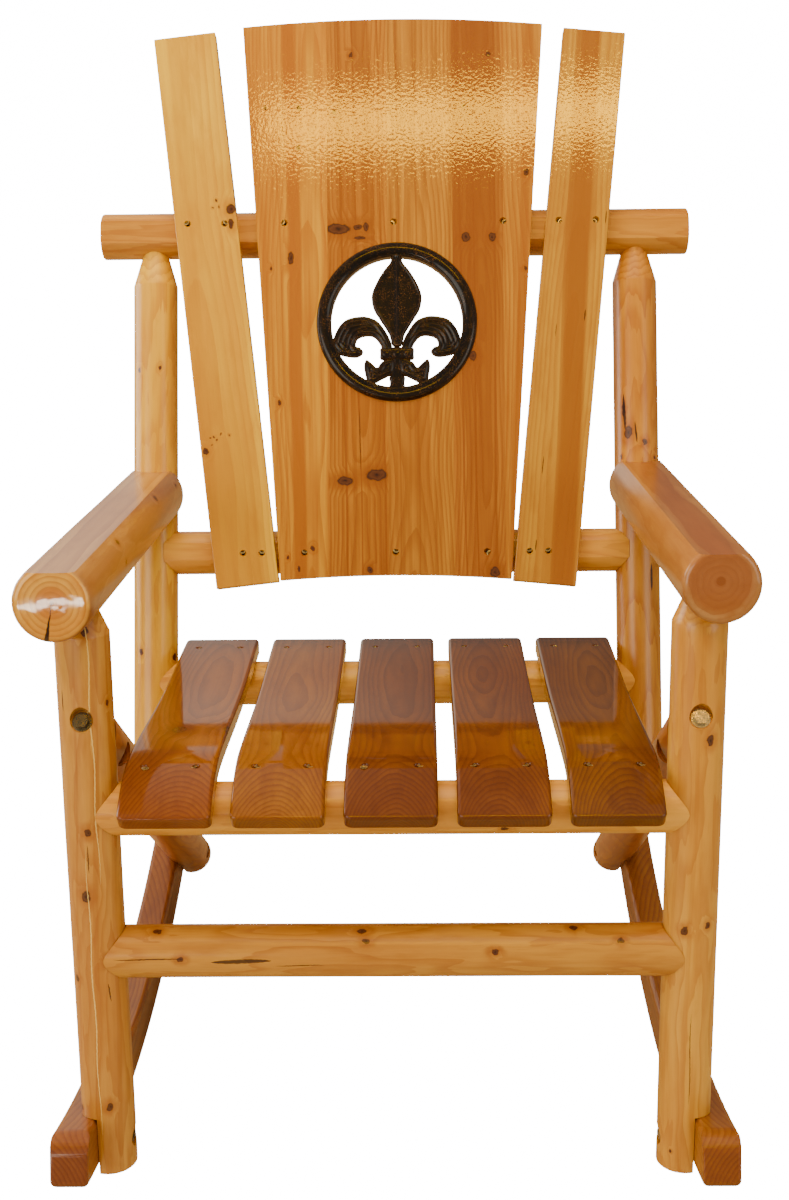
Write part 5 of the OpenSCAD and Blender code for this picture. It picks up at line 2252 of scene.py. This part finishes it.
@dataclass(frozen=True)
class Screw:
    """A countersunk cross-head screw, in millimetres."""

    head_r: float = 3.75
    shank_r: float = 1.95
    head_h: float = 3.0
    crown: float = 0.1
    rim_h: float = 0.4
    length: float = 38.0
    tip: float = 4.0
    arm: float = 2.35
    bar: float = 0.62
    depth: float = 1.7
    taper: float = 0.55
    sides: int = 24

    def mesh(self) -> bpy.types.Mesh:
        """Returns the screw, with its head's face at z = 0."""
        bm = bmesh.new()
        arm, bar = self.arm * MM, self.bar * MM
        corner = [(arm, -bar), (arm, bar), (bar, bar)]
        cross = []
        for _ in range(4):
            cross += corner
            corner = [(-y, x) for x, y in corner]

        def ring(radius: float, z: float) -> list[bmesh.types.BMVert]:
            """Adds a ring of vertices."""
            return [bm.verts.new(point) for point in circle(self.sides, radius * MM, z * MM)]

        rim = ring(self.head_r, -self.crown)
        slot = [bm.verts.new((x, y, 0)) for x, y in cross]
        floor = [
            bm.verts.new((x * self.taper, y * self.taper, -self.depth * MM)) for x, y in cross
        ]
        top_edges = []
        for row in (rim, slot):
            top_edges += [bm.edges.new(pair) for pair in zip(row, row[1:] + row[:1])]
        filled = bmesh.ops.triangle_fill(bm, edges=top_edges, use_beauty=True)
        stray = [
            f for f in filled["geom"]
            if isinstance(f, bmesh.types.BMFace) and all(v in slot for v in f.verts)
        ]
        bmesh.ops.delete(bm, geom=stray, context="FACES_ONLY")
        bridge(bm, slot, floor)
        bm.faces.new(floor)
        rings = [
            rim, ring(self.head_r, -self.rim_h), ring(self.shank_r, -self.head_h),
            ring(self.shank_r, self.tip - self.length),
        ]
        for one, two in zip(rings, rings[1:]):
            bridge(bm, one, two)
        tip = bm.verts.new((0, 0, -self.length * MM))
        for one, two in zip(rings[-1], rings[-1][1:] + rings[-1][:1]):
            bm.faces.new((one, two, tip))
        bmesh.ops.recalc_face_normals(bm, faces=bm.faces)
        return smooth(closed(bm, "screw_part"), METAL_ANGLE)


@dataclass
class Fasteners:
    """Screws, bolts, washers and nuts, set where the construction has them."""

    screws: tuple[str, ...] = ("slat_screws", "back_screws")
    hardware: tuple[str, ...] = (
        "leg_bolts", "leg_washers", "leg_nuts", "rocker_bolts", "rocker_washers",
        "rocker_nuts", "lag_screws", "lag_washers",
    )
    ease: float = 0.0004
    steps: int = 2
    flat: float = 1
    sharp: float = 50
    turn_step: float = 2.399
    half_turn: float = 3.14
    level: float = 1e-5
    end_share: float = 0.9

    def solids(self, node: str) -> list[tuple[Vector, Vector]]:
        """Finds the screws in a construction node.

        Args:
            node: The node.

        Returns:
            The head's middle and the outward axis of each.
        """
        bm = opened(frame["nodes"][node].data)
        left = set(bm.verts)
        found = []
        for start in bm.verts:
            if start not in left:
                continue
            left.discard(start)
            island = [start]
            for v in island:
                for edge in v.link_edges:
                    other = edge.other_vert(v)
                    if other in left:
                        left.discard(other)
                        island.append(other)
            middle = sum((v.co for v in island), Vector()) / len(island)
            far = max(island, key=lambda v: (v.co - middle).length).co
            axis = self._axis(island, middle, far)
            ends = [(v.co - middle).dot(axis) for v in island]
            head = [v.co for v, e in zip(island, ends) if e > max(ends) - self.level]
            found.append((sum(head, Vector()) / len(head), axis))
        bm.free()
        return found

    def _axis(self, island: list, middle: Vector, far: Vector) -> Vector:
        """Finds a screw's axis.

        Args:
            island: Its vertices.
            middle: Their middle.
            far: The vertex farthest from it.

        Returns:
            The direction from its tip to its wider head.
        """
        rough = (far - middle).normalized()
        ends = [(v.co - middle).dot(rough) for v in island]
        top = [v.co for v, e in zip(island, ends) if e > max(ends) * self.end_share]
        low = [v.co for v, e in zip(island, ends) if e < min(ends) * self.end_share]
        top_mid = sum(top, Vector()) / len(top)
        low_mid = sum(low, Vector()) / len(low)
        wide = max((c - top_mid).length for c in top) > max((c - low_mid).length for c in low)
        return ((top_mid - low_mid) if wide else (low_mid - top_mid)).normalized()

    def build(self, tree: bpy.types.NodeTree) -> None:
        """Builds every fastener."""
        brass = Plated("screw_brass", (0.72, 0.56, 0.22), (0.36, 0.26, 0.10)).build()
        # The zinc carries a painted dark reflection on the chair's left.
        zinc = Plated(
            "yellow_zinc", (0.66, 0.54, 0.28), (0.50, 0.40, 0.20), roughness=0.26,
            left_dark_reflection=(0.085, 0.060, 0.030),
        ).build()
        template = new_object("screw_template", Screw().mesh())
        for node in self.screws:
            places = self.solids(node)
            points = bpy.data.meshes.new(node + "_points")
            points.from_pydata([head for head, _ in places], [], [])
            points.attributes.new("facing", "FLOAT_VECTOR", "POINT")
            points.attributes.new("turned", "FLOAT", "POINT")
            for i, (_, axis) in enumerate(places):
                turned = (i * self.turn_step) % self.half_turn
                points.attributes["facing"].data[i].vector = axis
                points.attributes["turned"].data[i].value = turned
            mesh = run_tree(points, tree, {"Part": template, "Size": 1.0, "Material": brass})
            finish_piece(new_object(node + "_set", mesh), (node,), brass)
        bpy.data.objects.remove(template)
        for node in self.hardware:
            mesh = eased_copy(
                node, self.ease, self.steps, self.flat, self.sharp, lambda point: False
            )
            piece = new_object(node + "_steel", smooth(mesh, METAL_ANGLE))
            finish_piece(piece, (node,), zinc)


WHITE: Colour = (1.0, 0.93, 0.78)
GOLD: Colour = (1.0, 0.50, 0.0)


@dataclass(frozen=True)
class SoftBox:
    """A rectangular studio light, placed in the upright chair's space."""

    name: str
    place: Point
    target: Point
    width: float
    height: float
    power: float
    colour: Colour
    mirrored: bool = True

    def build(self) -> None:
        """Makes the light."""
        data = bpy.data.lights.new(self.name, "AREA")
        data.shape = "RECTANGLE"
        data.size = self.width
        data.size_y = self.height
        data.energy = self.power
        data.color = self.colour
        light = bpy.data.objects.new(self.name, data)
        way = Vector(self.target) - Vector(self.place)
        turned = way.to_track_quat("-Z", "Y").to_matrix().to_4x4()
        light.matrix_world = PLAN.rest @ Matrix.Translation(self.place) @ turned
        light.visible_glossy = self.mirrored
        bpy.context.collection.objects.link(light)


@dataclass
class Studio:
    """Pale floor, white surroundings and soft boxes.

    The floor is white to the camera and warm to mirrored rays, which keeps grey off the
    undersides of the wood.
    """

    floor_size: float = 12.0
    backdrop: float = 16.3
    floor_glow: float = 16.3
    front_sky: float = 0.30
    rear_sky: float = 0.15
    left_sky: float = 0.74
    rear_from: tuple[float, float] = (0.1, 0.75)
    left_from: tuple[float, float] = (0.12, -0.30)
    left_rear: tuple[float, float] = (0.0, 0.6)
    warm_floor: Colour = (0.56, 0.33, 0.13)
    boxes: tuple[SoftBox, ...] = (
        SoftBox("overhead", (-0.3, -0.30, 3.2), (0.0, 0.35, 0.7), 3.0, 2.0, 112.0, WHITE, False),
        SoftBox("glare_strip", (0.18, -1.85, 2.72), (0.0, 0.6, 1.05), 1.18, 0.14, 17.5, GOLD),
        SoftBox("left_fill", (-2.2, -2.2, 1.0), (0.0, 0.3, 0.5), 2.0, 1.9, 44.0, WHITE),
        SoftBox("left_window", (-2.4, 0.9, 1.1), (0.0, 0.3, 0.6), 1.5, 1.4, 30.0, WHITE),
        SoftBox("low_line", (-0.60, -1.27, 0.314), (-0.30, -0.07, 0.62), 0.62, 0.013, 0.8, WHITE),
        SoftBox("right_fill", (2.2, -1.6, 1.0), (0.0, 0.2, 0.6), 1.4, 1.8, 19.0, WHITE),
    )

    def build(self) -> None:
        """Builds the floor, the surroundings and the lights."""
        self._floor()
        self._surroundings()
        for box in self.boxes:
            box.build()

    def _floor(self) -> None:
        """Builds the floor, a plain pale light table."""
        bm = bmesh.new()
        bmesh.ops.create_grid(bm, x_segments=4, y_segments=4, size=self.floor_size / 2)
        floor = new_object("floor", closed(bm, "floor"))
        material = bpy.data.materials.new("pale_floor")
        material.use_nodes = True
        g = Graph(material.node_tree)
        surface = material.node_tree.nodes["Principled BSDF"]
        tone = g.blend(g.noise(g.object_point(), 3.0), (0.50, 0.50, 0.50), (0.53, 0.53, 0.525))
        path = g.node("ShaderNodeLightPath")
        mirrored = g.out(path, "Is Glossy Ray")
        g.feed(surface.inputs["Base Color"], g.blend(mirrored, tone, self.warm_floor))
        g.feed(surface.inputs["Emission Color"], (1.0, 1.0, 1.0))
        seen = g.out(path, "Is Camera Ray")
        g.feed(surface.inputs["Emission Strength"], seen * self.floor_glow)
        surface.inputs["Roughness"].default_value = 0.7
        floor.data.materials.append(material)

    def _surroundings(self) -> None:
        """Makes the surroundings: white behind the chair, dim on the camera's side."""
        world = bpy.data.worlds.new("studio")
        world.use_nodes = True
        g = Graph(world.node_tree)
        background = world.node_tree.nodes["Background"]
        x, y, _ = g.split(g.out(g.node("ShaderNodeTexCoord"), "Generated"))
        rear = g.step(y, *self.rear_from)
        left = g.step(x, *self.left_from) * g.step(y, *self.left_rear)
        level = rear * (self.rear_sky - self.front_sky) + self.front_sky + left * self.left_sky
        seen = g.out(g.node("ShaderNodeLightPath"), "Is Camera Ray")
        strength = g.math("MAXIMUM", level, seen * self.backdrop)
        g.feed(background.inputs["Color"], g.blend(seen, WHITE, (1.0, 1.0, 1.0)))
        g.feed(background.inputs["Strength"], strength)
        bpy.context.scene.world = world


def main() -> None:
    """Builds the chair in order: camera, studio, logs, seat, back, ornament and fasteners."""
    logging.basicConfig(level=logging.INFO, format="%(name)s: %(message)s")
    CAMERA.build()
    Studio().build()
    build_effects()
    sweep = build_swept_board_tree()
    LogFrame(PLAN).build()
    Seat(PLAN).build(sweep)
    Rockers(PLAN).build(sweep)
    Back(PLAN).build()
    Medallion(PLAN).build()
    Fasteners().build(build_fastener_tree())


if __name__ == "__main__":
    main()
